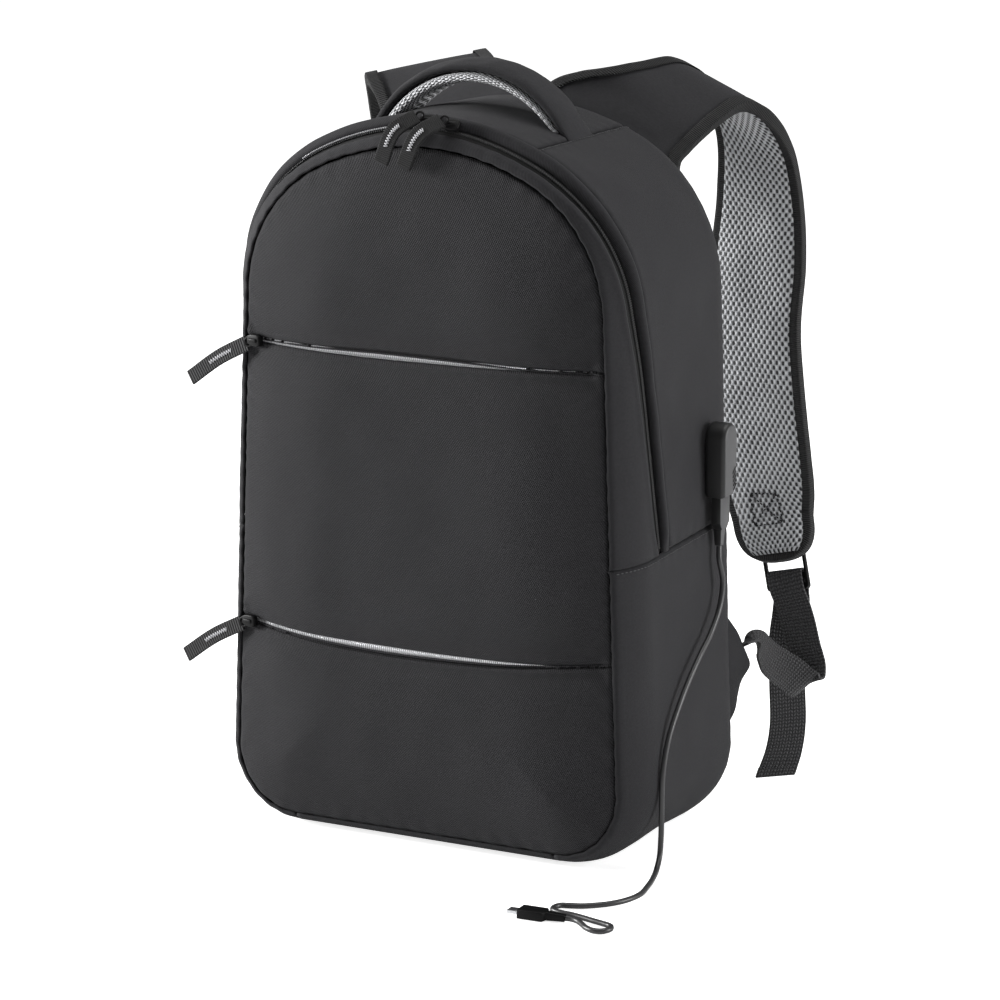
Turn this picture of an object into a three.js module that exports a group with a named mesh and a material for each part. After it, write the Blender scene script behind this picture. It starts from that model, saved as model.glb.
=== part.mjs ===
// Laptop backpack with two padded shoulder straps, a padded handle and a charging port.
// X runs across the bag, -Y is its front, +Z is up; the origin is the middle of its base.
import * as THREE from 'three';

// Main bag, in millimetres and degrees
const bagDepth = 150;
const seamLift = 9;
const seamHeight = 435;
const shoulderHalfWidth = 124;
const sideLean = 2.04;
const cornerRadius = 42;
const shoulderRadius = 90;
const crownRadius = 165;
const topSeam = 65;
const clothWall = 2;
const panelWall = 2.5;
const curveGap = 0.5;
const gap = 0.4;

// How the gusset swells out from the front seam and draws in at the back seam
const gussetSwell = 14.5;
const swellDepth = 32;
const backRound = 20;
const backStep = 4;

// Front panel, its two zipped pockets and the side seam
const panelBulge = 15;
const panelRoll = 75;
const pocketZipHeights = { upper: 316, lower: 135 };
const pocketZipSags = { upper: 0, lower: 6 };
const pocketZipHalf = 1.7;
const pocketDip = 3;
const pocketDipSpan = 11;
const sideSeamHeight = 195;
const sideSeamRise = 7;

// Main zip, which runs over the bag from one side seam to the other
const mainZipDepth = 46;
const mainZipHalf = 3;
const mainZipTuck = 3;
const mainZipSink = 2.9;
const mainZipWall = 1.5;
const flapWidth = 7;
const flapStand = 1.5;

// Padded back
const backWall = 3;
const padInset = 20;
const padThickness = 8;
const padCrown = 4;

// Handle
const handleRise = 43;
const handleWidth = 32;
const handleBackSet = 78;
const handleCloth = 6;
const handleCrown = 1.4;
const handleSeat = 4;
const handleHem = 4;
const handleSteps = 20;
const liningWall = 2;
const liningDrop = 1.2;

// Shoulder straps
const strapReach = 121;
const strapSpread = 140;
const strapRise = 18;
const strapWall = 7;
const strapRootGap = 0.3;
const strapRootInset = 2.5;
const strapRootSpan = 0.3;
const bindingWidth = 8;
const strapEndRound = 28;
const strapRim = 0.6;

// Webbing, ladder locks and wing tabs
const webWidth = 24;
const webWall = 1.6;
const lockWidth = 30;
const lockHeight = 42;
const lockBar = 3.5;
const lockWall = 4;
const lockSlot = 4;
const lockBelow = 19;
const loopLength = 28;
const loopLift = 1;
const webGap = 1;
const webTipGap = 1;
const freeEndLength = 123;
const slackDrop = 62;
const slackSwing = 24;
const tabHeight = 74;
const tabReach = 22.5;
const tabWall = 3;
const tabCentreHeight = 98;

// Zip sliders, pullers and pull tabs
const sliderLength = 11;
const sliderWidth = 8;
const sliderWall = 4;
const sliderSeats = { pocket: 1.8, top: 0.7 };
const pullWidth = 10;
const pullWall = 2;
const pullGap = 0.8;
const pocketPullLength = 50;
const pocketPullHang = 2.5;
const pocketPullBow = 2;
const pocketSliderInset = 10;
const topPullLength = 46;
const topPullDrop = 0.62;
const topPullSweep = 0.525;
const topPullStand = 5;
const topPullLift = 2;
const topSliderFirst = 2;
const topSliderStep = 15;

// Charging port, its lead and the lead's plug
const portHeight = 47;
const portWidth = 19;
const portStand = 12.5;
const portBase = 221;
const portBackSet = 114;
const portEdge = 1.5;
const portRound = 2;
const portPlug = { width: 13.4, wall: 6.5, length: 21 };
const leadDiameter = 3.5;
const leadPlug = { width: 11, wall: 6, length: 18 };
const leadTip = { width: 7, wall: 2, length: 7 };
const reliefLength = 12;
const plugShoulder = 1.5;
const leadSteps = 72;

// The lead's route from the port to the plug on the floor
const leadRoute = [
  [149.6, 40, 188], [150.8, 38, 180], [152, 41, 166], [152.2, 37, 151], [152.2, 24, 136],
  [152.2, 8, 125], [152, -8, 112], [151.8, -22, 98], [151.6, -34, 83], [151.4, -40, 69],
  [151.3, -42.5, 57], [151.2, -43, 44], [151.2, -43, 31], [151.2, -43.5, 19], [151.6, -46, 9],
  [153.6, -54, 3.4], [157.6, -67, 2.1], [162, -84, 2.1], [164.8, -100, 2.1], [162.5, -114, 2.1],
  [157, -124.5, 2.1], [151, -131, 2.1], [144, -136.5, 2.1], [137, -139.5, 2.1], [132, -141.5, 2.1],
  [130, -146.5, 2.1], [131.5, -151, 2.1], [137, -153.5, 2.1], [147, -154.5, 2.1], [155, -156.3, 2.1],
  [163, -158.5, 2.1], [171, -160.5, 2.1], [176, -162.5, 2.1], [178, -167.5, 2.1], [176, -172.5, 2.1],
  [171, -174.5, 2.1], [165, -172.6, 2.3], [160.5, -169.2, 2.7], [156, -166, 3.1], [151.5, -164.6, 3.3],
  [147.5, -164.8, 3.3],
];

const rad = (degrees) => (degrees * Math.PI) / 180;
const mix = (a, b, t) => a + (b - a) * t;
const clamp = (v, low, high) => Math.min(Math.max(v, low), high);
const vec = (x, y, z) => new THREE.Vector3(x, y, z);

// Reads a table at a place between its rows, along a smooth curve
function readTable(rows, key, value, at) {
  const last = rows.length - 1;
  const t = clamp(at, rows[0][key], rows[last][key]);
  let i = 0;
  while (i < last - 1 && t > rows[i + 1][key]) i += 1;
  const slope = (k) => {
    const a = rows[Math.max(k - 1, 0)];
    const b = rows[Math.min(k + 1, last)];
    return (b[value] - a[value]) / (b[key] - a[key]);
  };
  const span = rows[i + 1][key] - rows[i][key];
  const u = (t - rows[i][key]) / span;
  const h = u * u * (3 - 2 * u);
  const bend = span * (slope(i) * u * (1 - u) * (1 - u) - slope(i + 1) * u * u * (1 - u));
  return mix(rows[i][value], rows[i + 1][value], h) + bend;
}

// Closed solid from loose triangles: equal corners are joined and empty triangles dropped
function solid(triangles) {
  const keys = new Map();
  const positions = [];
  const find = (p) => {
    const key = [p.x, p.y, p.z].map((v) => Math.round(v * 2000)).join();
    if (!keys.has(key)) {
      keys.set(key, positions.length / 3);
      positions.push(p.x, p.y, p.z);
    }
    return keys.get(key);
  };
  const faces = [];
  let volume = 0;
  for (const corners of triangles) {
    const [a, b, c] = corners.map(find);
    if (a === b || b === c || a === c) continue;
    faces.push(a, b, c);
    volume += corners[0].dot(vec(0, 0, 0).crossVectors(corners[1], corners[2]));
  }
  if (volume < 0) {
    for (let i = 0; i < faces.length; i += 3) [faces[i + 1], faces[i + 2]] = [faces[i + 2], faces[i + 1]];
  }
  const geometry = new THREE.BufferGeometry();
  geometry.setAttribute('position', new THREE.Float32BufferAttribute(positions, 3));
  geometry.setIndex(faces);
  geometry.computeVertexNormals();
  return geometry;
}

function quad(list, a, b, c, d) {
  list.push([a, b, c], [a, c, d]);
}

// Sheet with thickness: face(i, j) and back(i, j) give its two sides over rows and columns.
// A sheet that is closed round its rows has no end walls there; a sheet that closes on
// itself at its last column has no wall there either.
function sheet(rows, columns, face, back, { round = false, domed = false } = {}) {
  const list = [];
  for (let i = 0; i < rows; i += 1) {
    const n = round ? (i + 1) % rows : i + 1;
    for (let j = 0; j < columns; j += 1) {
      quad(list, face(i, j), face(n, j), face(n, j + 1), face(i, j + 1));
      quad(list, back(i, j), back(i, j + 1), back(n, j + 1), back(n, j));
    }
    quad(list, face(i, 0), back(i, 0), back(n, 0), face(n, 0));
    if (!domed) quad(list, face(i, columns), face(n, columns), back(n, columns), back(i, columns));
  }
  if (!round) {
    for (let j = 0; j < columns; j += 1) {
      quad(list, face(0, j), face(0, j + 1), back(0, j + 1), back(0, j));
      quad(list, face(rows, j), back(rows, j), back(rows, j + 1), face(rows, j + 1));
    }
  }
  return solid(list);
}

// Tube or bar through closed rings of points, with flat ends
function ringLoft(rings) {
  const list = [];
  const count = rings[0].length;
  for (let i = 0; i + 1 < rings.length; i += 1) {
    for (let k = 0; k < count; k += 1) {
      const n = (k + 1) % count;
      quad(list, rings[i][k], rings[i][n], rings[i + 1][n], rings[i + 1][k]);
    }
  }
  const first = rings[0];
  const last = rings[rings.length - 1];
  for (let k = 1; k + 1 < count; k += 1) {
    list.push([first[0], first[k + 1], first[k]], [last[0], last[k], last[k + 1]]);
  }
  return solid(list);
}

// The front seam: crown arc, shoulder arc, leaning side, bottom corner and straight bottom
const lean = rad(sideLean);
const crownCentreZ = seamLift + seamHeight - crownRadius;
const arcStep = crownRadius - shoulderRadius;
const crownAngle = Math.acos((shoulderHalfWidth - shoulderRadius * Math.cos(lean)) / arcStep);
const shoulderCentre = {
  x: arcStep * Math.cos(crownAngle),
  z: crownCentreZ + arcStep * Math.sin(crownAngle),
};
const sideTop = {
  x: shoulderCentre.x + shoulderRadius * Math.cos(lean),
  z: shoulderCentre.z + shoulderRadius * Math.sin(lean),
};
const cornerCentreZ = seamLift + cornerRadius;
const cornerCentre = {
  x: sideTop.x + (sideTop.z - cornerCentreZ) * Math.tan(lean) - cornerRadius / Math.cos(lean),
  z: cornerCentreZ,
};
const sideBase = {
  x: cornerCentre.x + cornerRadius * Math.cos(lean),
  z: cornerCentre.z + cornerRadius * Math.sin(lean),
};

// Lengths along the seam from the crown's middle, down one side to the bottom's middle
const crownEnd = crownRadius * (Math.PI / 2 - crownAngle);
const shoulderEnd = crownEnd + shoulderRadius * (crownAngle - lean);
const sideEnd = shoulderEnd + Math.hypot(sideTop.x - sideBase.x, sideTop.z - sideBase.z);
const cornerEnd = sideEnd + cornerRadius * (Math.PI / 2 + lean);
const halfRound = cornerEnd + cornerCentre.x;

function arcPoint(centre, radius, angle) {
  const out = { x: Math.cos(angle), z: Math.sin(angle) };
  return { x: centre.x + radius * out.x, z: centre.z + radius * out.z, outX: out.x, outZ: out.z };
}

// Point on the front seam and its outward direction, a length along from the crown
function seamPoint(length) {
  let l = length % (2 * halfRound);
  if (l > halfRound) l -= 2 * halfRound;
  if (l < -halfRound) l += 2 * halfRound;
  const side = l < 0 ? -1 : 1;
  l = Math.abs(l);
  let p;
  if (l <= crownEnd) {
    p = arcPoint({ x: 0, z: crownCentreZ }, crownRadius, Math.PI / 2 - l / crownRadius);
  } else if (l <= shoulderEnd) {
    p = arcPoint(shoulderCentre, shoulderRadius, crownAngle - (l - crownEnd) / shoulderRadius);
  } else if (l <= sideEnd) {
    const t = (l - shoulderEnd) / (sideEnd - shoulderEnd);
    p = {
      x: mix(sideTop.x, sideBase.x, t),
      z: mix(sideTop.z, sideBase.z, t),
      outX: Math.cos(lean),
      outZ: Math.sin(lean),
    };
  } else if (l <= cornerEnd) {
    p = arcPoint(cornerCentre, cornerRadius, lean - (l - sideEnd) / cornerRadius);
  } else {
    p = { x: cornerCentre.x - (l - cornerEnd), z: seamLift, outX: 0, outZ: -1 };
  }
  return { x: side * p.x, z: p.z, outX: side * p.outX, outZ: p.outZ };
}

// Length along the seam at a height on its straight side
const seamLengthAt = (z) => shoulderEnd + (sideTop.z - z) / Math.cos(lean);

// Swell of the gusset: how far it stands out as shares of gussetSwell, and how deep behind
// the seam it gets there as shares of swellDepth
const swellRows = [
  { along: 0, out: 1.2, deep: 0.45 },
  { along: crownEnd, out: 1.12, deep: 0.6 },
  { along: shoulderEnd, out: 1, deep: 1 },
  { along: sideEnd, out: 1, deep: 1 },
  { along: cornerEnd, out: seamLift / gussetSwell, deep: 0.78 },
  { along: halfRound, out: seamLift / gussetSwell, deep: 0.78 },
];

function readLinear(rows, key, value, at) {
  let i = 0;
  while (i < rows.length - 2 && at > rows[i + 1][key]) i += 1;
  const t = clamp((at - rows[i][key]) / (rows[i + 1][key] - rows[i][key]), 0, 1);
  return mix(rows[i][value], rows[i + 1][value], t);
}

// How far the gusset's outside stands out from the front seam at a depth behind it
function swell(length, depth) {
  let l = Math.abs(length) % (2 * halfRound);
  if (l > halfRound) l = 2 * halfRound - l;
  const full = gussetSwell * readLinear(swellRows, 'along', 'out', l);
  const reach = swellDepth * readLinear(swellRows, 'along', 'deep', l);
  const rim = clothWall + gap;
  const front = rim + (full - rim) * (1 - (1 - Math.min(depth / reach, 1)) ** 2);
  const t = clamp((depth - (bagDepth - backRound)) / backRound, 0, 1);
  return mix(front, backStep, 1 - Math.sqrt(1 - t * t));
}

const frontY = -bagDepth / 2;
const backY = bagDepth / 2;

// Point on the gusset, standing out from its surface by stand
function gussetPoint(length, depth, stand = 0) {
  const p = seamPoint(length);
  const out = swell(length, depth) + stand;
  return vec(p.x + p.outX * out, frontY + depth, p.z + p.outZ * out);
}

// Seams on the gusset
const sideSeamAt = (depth) => seamLengthAt(sideSeamHeight + (sideSeamRise * depth) / bagDepth);
const zipRows = [
  { down: 0, deep: 0.174 },
  { down: 0.24, deep: 0.187 },
  { down: 0.33, deep: 0.228 },
  { down: 0.5, deep: 0.391 },
  { down: 0.64, deep: 0.587 },
  { down: 0.85, deep: 0.826 },
  { down: 1, deep: 1 },
];
const zipEnd = sideSeamAt(mainZipDepth);
const mainZipAt = (length) => mainZipDepth * readTable(zipRows, 'down', 'deep', Math.abs(length) / zipEnd);

const even = (count) => Array.from({ length: count + 1 }, (_, k) => k / count);

// Piece of the gusset between two lengths and two depths, each of which may follow the other;
// rows and columns are the shares of its length and its depth where it is laid out
function gussetPiece({ from, to, front, back, rows, columns, stand = 0, wall = clothWall }) {
  const place = (i, j) => {
    let length = mix(from(0), to(0), rows[i]);
    let depth = 0;
    for (let turn = 0; turn < 6; turn += 1) {
      depth = mix(front(length), back(length), columns[j]);
      length = mix(from(depth), to(depth), rows[i]);
    }
    return [length, depth];
  };
  const point = (drop) => (i, j) => {
    const [length, depth] = place(i, j);
    return gussetPoint(length, depth, stand - drop);
  };
  return sheet(rows.length - 1, columns.length - 1, point(0), point(wall));
}

const bagCloth = { color: 0x2b2b2d, roughness: 0.9, metalness: 0 };
const darkCloth = { color: 0x1f1f21, roughness: 0.9, metalness: 0 };
const tape = { color: 0x171718, roughness: 0.8, metalness: 0 };
const coil = { color: 0x8e9094, roughness: 0.45, metalness: 0.2 };
const spacerMesh = { color: 0xa9adb1, roughness: 0.8, metalness: 0 };
const hardPlastic = { color: 0x121213, roughness: 0.4, metalness: 0 };
const greyRubber = { color: 0x3a3c3f, roughness: 0.6, metalness: 0 };
const steel = { color: 0xb8babd, roughness: 0.3, metalness: 1 };

const backpack = new THREE.Group();

function add(name, geometry, look) {
  const mesh = new THREE.Mesh(geometry, new THREE.MeshStandardMaterial(look));
  mesh.name = name;
  backpack.add(mesh);
  return mesh;
}

const sides = [
  { name: 'left', sign: -1 },
  { name: 'right', sign: 1 },
];

// A side's copy of a shape that is worked out for the right side
function onSide(geometry, sign) {
  if (sign > 0) return geometry;
  const points = (geometry.index ? geometry.toNonIndexed() : geometry).getAttribute('position');
  const corner = (k) => new THREE.Vector3().fromBufferAttribute(points, k).setX(-points.getX(k));
  return solid(Array.from({ length: points.count / 3 }, (_, t) => (
    [corner(3 * t), corner(3 * t + 2), corner(3 * t + 1)]
  )));
}

// Front panel: how far a point stands in front of the seam's plane
const seamSamples = Array.from({ length: 240 }, (_, k) => seamPoint((k / 240) * 2 * halfRound));

function seamDistance(x, z) {
  let best = Infinity;
  for (let k = 0; k < seamSamples.length; k += 1) {
    const a = seamSamples[k];
    const b = seamSamples[(k + 1) % seamSamples.length];
    const dx = b.x - a.x;
    const dz = b.z - a.z;
    const t = clamp(((x - a.x) * dx + (z - a.z) * dz) / (dx * dx + dz * dz), 0, 1);
    best = Math.min(best, Math.hypot(x - a.x - t * dx, z - a.z - t * dz));
  }
  return best;
}

function pocketZipHeight(zip, x) {
  const ends = seamPoint(seamLengthAt(pocketZipHeights[zip])).x;
  return pocketZipHeights[zip] - pocketZipSags[zip] * (1 - clamp(x / ends, -1, 1) ** 2);
}

function panelStand(x, z) {
  const inward = clamp(seamDistance(x, z) / panelRoll, 0, 1);
  const bulge = panelBulge * (1 - (1 - inward) ** 2);
  const dips = Object.keys(pocketZipHeights).map((zip) => {
    const away = (z - pocketZipHeight(zip, x)) / pocketDipSpan;
    return pocketDip * Math.exp(-away * away);
  });
  return bulge - Math.min(bulge, dips[0] + dips[1]);
}

const panelPoint = (x, z, drop) => vec(x, frontY - panelStand(x, z) + drop, z);

// Point on the front panel's rim, a length along the seam from the crown's middle
function rimPoint(length) {
  const p = seamPoint(length);
  return { x: p.x - p.outX * curveGap, z: p.z - p.outZ * curveGap };
}

// Point on a pocket zip's line at a share of its width, a little above or below it
function zipLinePoint(zip, share, above) {
  const end = rimPoint(seamLengthAt(pocketZipHeights[zip] + above)).x;
  const x = mix(-end, end, share);
  return { x, z: pocketZipHeight(zip, x) + above };
}

const zipOpening = pocketZipHalf + gap;

// Piece of the front panel between a pocket zip and the seam beyond it
function endPanel(zip, above, steps, across) {
  const start = seamLengthAt(pocketZipHeights[zip] + above);
  const span = above > 0 ? [-start, start] : [2 * halfRound - start, start];
  const point = (drop) => (i, j) => {
    const t = 1 - (1 - j / across) ** 1.6;
    const rim = rimPoint(mix(span[0], span[1], i / steps));
    const line = zipLinePoint(zip, i / steps, above);
    return panelPoint(mix(rim.x, line.x, t), mix(rim.z, line.z, t), drop);
  };
  return sheet(steps, across, point(0), point(panelWall));
}

function middlePanel(steps, across) {
  const point = (drop) => (i, j) => {
    const low = zipLinePoint('lower', i / steps, zipOpening);
    const high = zipLinePoint('upper', i / steps, -zipOpening);
    const t = j / across;
    const share = (2 * i) / steps - 1;
    const z = mix(low.z, high.z, t);
    const end = rimPoint(seamLengthAt(z)).x;
    return panelPoint(Math.abs(share) === 1 ? share * end : mix(low.x, high.x, t), z, drop);
  };
  return sheet(steps, across, point(0), point(panelWall));
}

add('front_panel_upper', endPanel('upper', zipOpening, 24, 5), bagCloth);
add('front_panel_middle', middlePanel(14, 6), bagCloth);
add('front_panel_lower', endPanel('lower', -zipOpening, 22, 5), bagCloth);

// Pocket zips: a coil strip that fills the slit between two panels
function pocketZip(zip, steps) {
  const point = (drop) => (i, j) => {
    const { x, z } = zipLinePoint(zip, i / steps, mix(-pocketZipHalf, pocketZipHalf, j));
    return panelPoint(x, z, drop);
  };
  const sink = 0.4;
  return sheet(steps, 1, point(sink), point(panelWall));
}

add('pocket_zip_upper', pocketZip('upper', 16), coil);
add('pocket_zip_lower', pocketZip('lower', 16), coil);

// Front band, main zip and the rolled edge that covers the zip
const half = gap / 2;
const archEnds = {
  from: (depth) => -(sideSeamAt(depth) - half),
  to: (depth) => sideSeamAt(depth) - half,
  rows: even(44),
};

add('front_band', gussetPiece({
  ...archEnds,
  front: () => 0,
  back: (l) => mainZipAt(l) - mainZipHalf,
  columns: even(2),
}), darkCloth);

add('main_zip', gussetPiece({
  ...archEnds,
  front: (l) => mainZipAt(l) - mainZipHalf - mainZipTuck,
  back: (l) => mainZipAt(l) + mainZipHalf + mainZipTuck,
  columns: even(1),
  stand: -mainZipSink,
  wall: mainZipWall,
}), tape);

add('zip_flap', gussetPiece({
  ...archEnds,
  front: (l) => mainZipAt(l) + mainZipHalf,
  back: (l) => mainZipAt(l) + mainZipHalf + flapWidth,
  columns: even(2),
  stand: flapStand,
  wall: clothWall + flapStand,
}), darkCloth);

// Top panel, side panels, lower side panels and base
const behindFlap = (l) => mainZipAt(l) + mainZipHalf + flapWidth + gap;
const toBack = () => bagDepth;

add('top_panel', gussetPiece({
  from: () => -topSeam + half,
  to: () => topSeam - half,
  front: behindFlap,
  back: toBack,
  rows: even(10),
  columns: even(8),
}), darkCloth);

const sidePanel = gussetPiece({
  from: () => topSeam + half,
  to: (depth) => sideSeamAt(depth) - half,
  front: behindFlap,
  back: toBack,
  rows: even(14),
  columns: even(7),
});

const lowerSide = gussetPiece({
  from: (depth) => sideSeamAt(depth) + half,
  to: () => cornerEnd,
  front: () => 0,
  back: toBack,
  rows: [0, 0.23, 0.45, 0.675, ...even(7).slice(1).map((t) => mix(0.675, 1, t))],
  columns: [0, 0.05, 0.12, 0.21, 0.5, 0.867, 0.93, 0.975, 1],
});

const basePanel = gussetPiece({
  from: () => cornerEnd + gap,
  to: () => 2 * halfRound - cornerEnd - gap,
  front: () => 0,
  back: toBack,
  rows: even(2),
  columns: [0, 0.05, 0.1, 0.167, 0.5, 0.867, 0.93, 0.975, 1],
});

for (const { name, sign } of sides) {
  add(`side_panel_${name}`, onSide(sidePanel, sign), darkCloth);
  add(`lower_side_${name}`, onSide(lowerSide, sign), darkCloth);
}
add('base_panel', basePanel, darkCloth);

// Back: a wall that closes the bag and a crowned pad of spacer mesh on it
const spine = { low: seamLift + seamHeight * 0.3, high: seamLift + seamHeight * 0.68 };

function backSlab(rimStand, thickness, crown, rise, steps, across) {
  const place = (i, j) => {
    const p = seamPoint((i / steps) * 2 * halfRound);
    const x = p.x + p.outX * rimStand;
    const z = p.z + p.outZ * rimStand;
    const t = j / across;
    return [mix(x, 0, t), mix(z, clamp(z, spine.low, spine.high), t), 1 - (1 - t) ** 2];
  };
  const point = (side) => (i, j) => {
    const [x, z, full] = place(i, j);
    return vec(x, backY + (side ? rise + thickness + crown * full : rise), z);
  };
  return sheet(steps, across, point(true), point(false), { round: true, domed: true });
}

const rimInside = backStep - clothWall - gap - curveGap;
add('back_panel', backSlab(rimInside, backWall, 0, -backWall, 40, 1), darkCloth);
add('back_pad', backSlab(-padInset, padThickness, padCrown, gap, 40, 3), spacerMesh);

// Handle: a padded arch over the crown with a mesh lining under it. Its ends are cut to the
// gusset, where they are sewn into the seams beside the top panel.
const handleFoot = gussetPoint(topSeam, handleBackSet);
const handleRadius = (handleFoot.x ** 2 + handleRise ** 2) / (2 * handleRise);
const handleCentreZ = handleFoot.z + handleRise - handleRadius;

function handleLayer(top, wall, width, seat, steps) {
  const point = (drop) => (i, j) => {
    const across = j - 1;
    const depth = handleBackSet + (across * width) / 2;
    const t = (2 * i) / steps - 1;
    const end = gussetPoint(topSeam + seat - drop, depth, gap);
    if (Math.abs(t) === 1) return end.setX(t * end.x);
    const radius = handleRadius - top - drop + (1 - Math.abs(across)) * handleCrown;
    const angle = t * Math.atan2(end.x, end.z - handleCentreZ);
    return vec(radius * Math.sin(angle), frontY + depth, handleCentreZ + radius * Math.cos(angle));
  };
  return sheet(steps, 2, point(0), point(wall));
}

add('handle', handleLayer(0, handleCloth, handleWidth, handleSeat, handleSteps), darkCloth);
const liningTop = handleCloth + 4 * gap;
const liningSeat = handleSeat - liningTop - 3 * gap;
add('handle_lining', handleLayer(liningTop, liningWall, handleWidth - handleHem, liningSeat, handleSteps), spacerMesh);

// Shoulder straps. Each row gives the strap's inner and outer edge as shares: x of
// strapSpread, y of strapReach behind the back seam, z of the strap's crest height.
const crestHeight = seamLift + seamHeight + swellRows[0].out * gussetSwell + strapRise;
const hangingRows = [
  { inX: 0.5, inY: 1.01, inZ: 0.719, outX: 0.964, outY: 1.008, outZ: 0.715 },
  { inX: 0.493, inY: 1.01, inZ: 0.625, outX: 0.943, outY: 1.008, outZ: 0.621 },
  { inX: 0.514, inY: 0.983, inZ: 0.531, outX: 0.986, outY: 0.967, outZ: 0.531 },
  { inX: 0.557, inY: 0.934, inZ: 0.465, outX: 1.043, outY: 0.9, outZ: 0.463 },
  { inX: 0.629, inY: 0.868, inZ: 0.404, outX: 1.093, outY: 0.826, outZ: 0.412 },
  { inX: 0.729, inY: 0.769, inZ: 0.354, outX: 1.107, outY: 0.785, outZ: 0.379 },
];
const strapRows = {
  right: [
    { inX: 0.064, inY: 0.05, inZ: 0.971, outX: 0.714, outY: 0.058, outZ: 0.883 },
    { inX: 0.179, inY: 0.116, inZ: 0.985, outX: 0.729, outY: 0.124, outZ: 0.894 },
    { inX: 0.293, inY: 0.19, inZ: 0.99, outX: 0.75, outY: 0.198, outZ: 0.906 },
    { inX: 0.386, inY: 0.347, inZ: 0.994, outX: 0.793, outY: 0.347, outZ: 0.927 },
    { inX: 0.464, inY: 0.504, inZ: 0.996, outX: 0.843, outY: 0.529, outZ: 0.942 },
    { inX: 0.536, inY: 0.678, inZ: 0.971, outX: 0.9, outY: 0.702, outZ: 0.923 },
    { inX: 0.586, inY: 0.835, inZ: 0.9, outX: 0.943, outY: 0.868, outZ: 0.875 },
    { inX: 0.557, inY: 0.934, inZ: 0.813, outX: 0.964, outY: 0.959, outZ: 0.804 },
    ...hangingRows,
  ],
  left: [
    { inX: 0.064, inY: 0.05, inZ: 0.971, outX: 0.743, outY: 0.033, outZ: 0.89 },
    { inX: 0.171, inY: 0.108, inZ: 0.985, outX: 0.8, outY: 0.066, outZ: 0.91 },
    { inX: 0.271, inY: 0.182, inZ: 0.988, outX: 0.857, outY: 0.099, outZ: 0.931 },
    { inX: 0.371, inY: 0.331, inZ: 0.99, outX: 0.921, outY: 0.14, outZ: 0.95 },
    { inX: 0.471, inY: 0.471, inZ: 0.99, outX: 0.979, outY: 0.207, outZ: 0.956 },
    { inX: 0.543, inY: 0.62, inZ: 0.967, outX: 1.021, outY: 0.314, outZ: 0.929 },
    { inX: 0.586, inY: 0.744, inZ: 0.896, outX: 1.05, outY: 0.455, outZ: 0.865 },
    { inX: 0.586, inY: 0.868, inZ: 0.802, outX: 1.021, outY: 0.703, outZ: 0.767 },
    ...hangingRows,
  ],
};
const strapRoot = { inner: strapRootInset, outer: mix(crownEnd, shoulderEnd, strapRootSpan) };
const strapSteps = 28;
const liningStart = 4;
const strapEndSteps = 4;
const rootStand = (strapWall - clothWall) / 2 - (backStep - clothWall) / 2;
const rootBlend = 0.1;

function rootPoint(across) {
  const point = gussetPoint(mix(strapRoot.inner, strapRoot.outer, across), bagDepth, rootStand);
  return point.setY(backY + strapRootGap);
}

// The strap's middle surface on the right side: a point, its outward normal and its frame
function strapSurface(rows) {
  const edge = (name, across) => new THREE.CatmullRomCurve3([
    rootPoint(across),
    ...rows.map((row) => vec(
      row[`${name}X`] * strapSpread,
      backY + row[`${name}Y`] * strapReach,
      row[`${name}Z`] * crestHeight,
    )),
  ]);
  const inner = edge('in', 0);
  const outer = edge('out', 1);
  const middle = (u) => inner.getPoint(u).lerp(outer.getPoint(u), 0.5);
  const bowAt = (across) => rootPoint(across).sub(rootPoint(0).lerp(rootPoint(1), across));
  return (u, across, past = 0) => {
    const step = 0.004;
    const low = clamp(u - step, 0, 1);
    const high = clamp(u + step, 0, 1);
    const along = middle(high).sub(middle(low)).normalize();
    const a = inner.getPoint(u);
    const b = outer.getPoint(u);
    const width = b.distanceTo(a);
    const over = b.clone().sub(a).normalize();
    const squeeze = Math.sqrt(1 - (0.93 * past) ** 2);
    const point = middle(u).addScaledVector(over, (across - 0.5) * width * squeeze);
    point.addScaledVector(along, past * strapEndRound);
    point.addScaledVector(bowAt(across), Math.max(0, 1 - u / rootBlend) ** 2);
    let out = over.clone().cross(along).normalize();
    if (u === 0) {
      const p = seamPoint(mix(strapRoot.inner, strapRoot.outer, across));
      out = vec(p.outX, 0, p.outZ);
    }
    return { point, out, along, over, width };
  };
}

// One layer of a strap between two heights above its middle surface; margin is what the
// binding covers along its edges
function strapLayer(surface, low, high, { margin = 0, from = 0, across = 4, rim = 1 }) {
  const steps = strapSteps + strapEndSteps - from;
  const endShort = margin / strapEndRound;
  const place = (i, j) => {
    const k = i + from;
    const u = Math.min(k / strapSteps, 1);
    const past = (Math.max(0, k - strapSteps) / strapEndSteps) ** 0.8 * (1 - endShort);
    const inset = margin / surface(u, 0).width;
    return [u, mix(inset, 1 - inset, j / across), past];
  };
  const point = (height, shrink) => (i, j) => {
    const { point: p, out } = surface(...place(i, j));
    const edge = j === 0 || j === across || i === steps;
    return p.addScaledVector(out, edge ? mix((low + high) / 2, height, shrink) : height);
  };
  return sheet(steps, across, point(high, rim), point(low, rim));
}

for (const { name, sign } of sides) {
  const surface = strapSurface(strapRows[name]);
  const body = strapLayer(surface, -strapWall / 2, strapWall / 2, { rim: strapRim });
  const under = -strapWall / 2 - liningDrop;
  const lining = strapLayer(surface, under - liningWall, under, {
    margin: bindingWidth,
    from: liningStart,
    across: 3,
  });
  add(`strap_${name}`, onSide(body, sign), darkCloth);
  add(`strap_lining_${name}`, onSide(lining, sign), spacerMesh);
}

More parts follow.
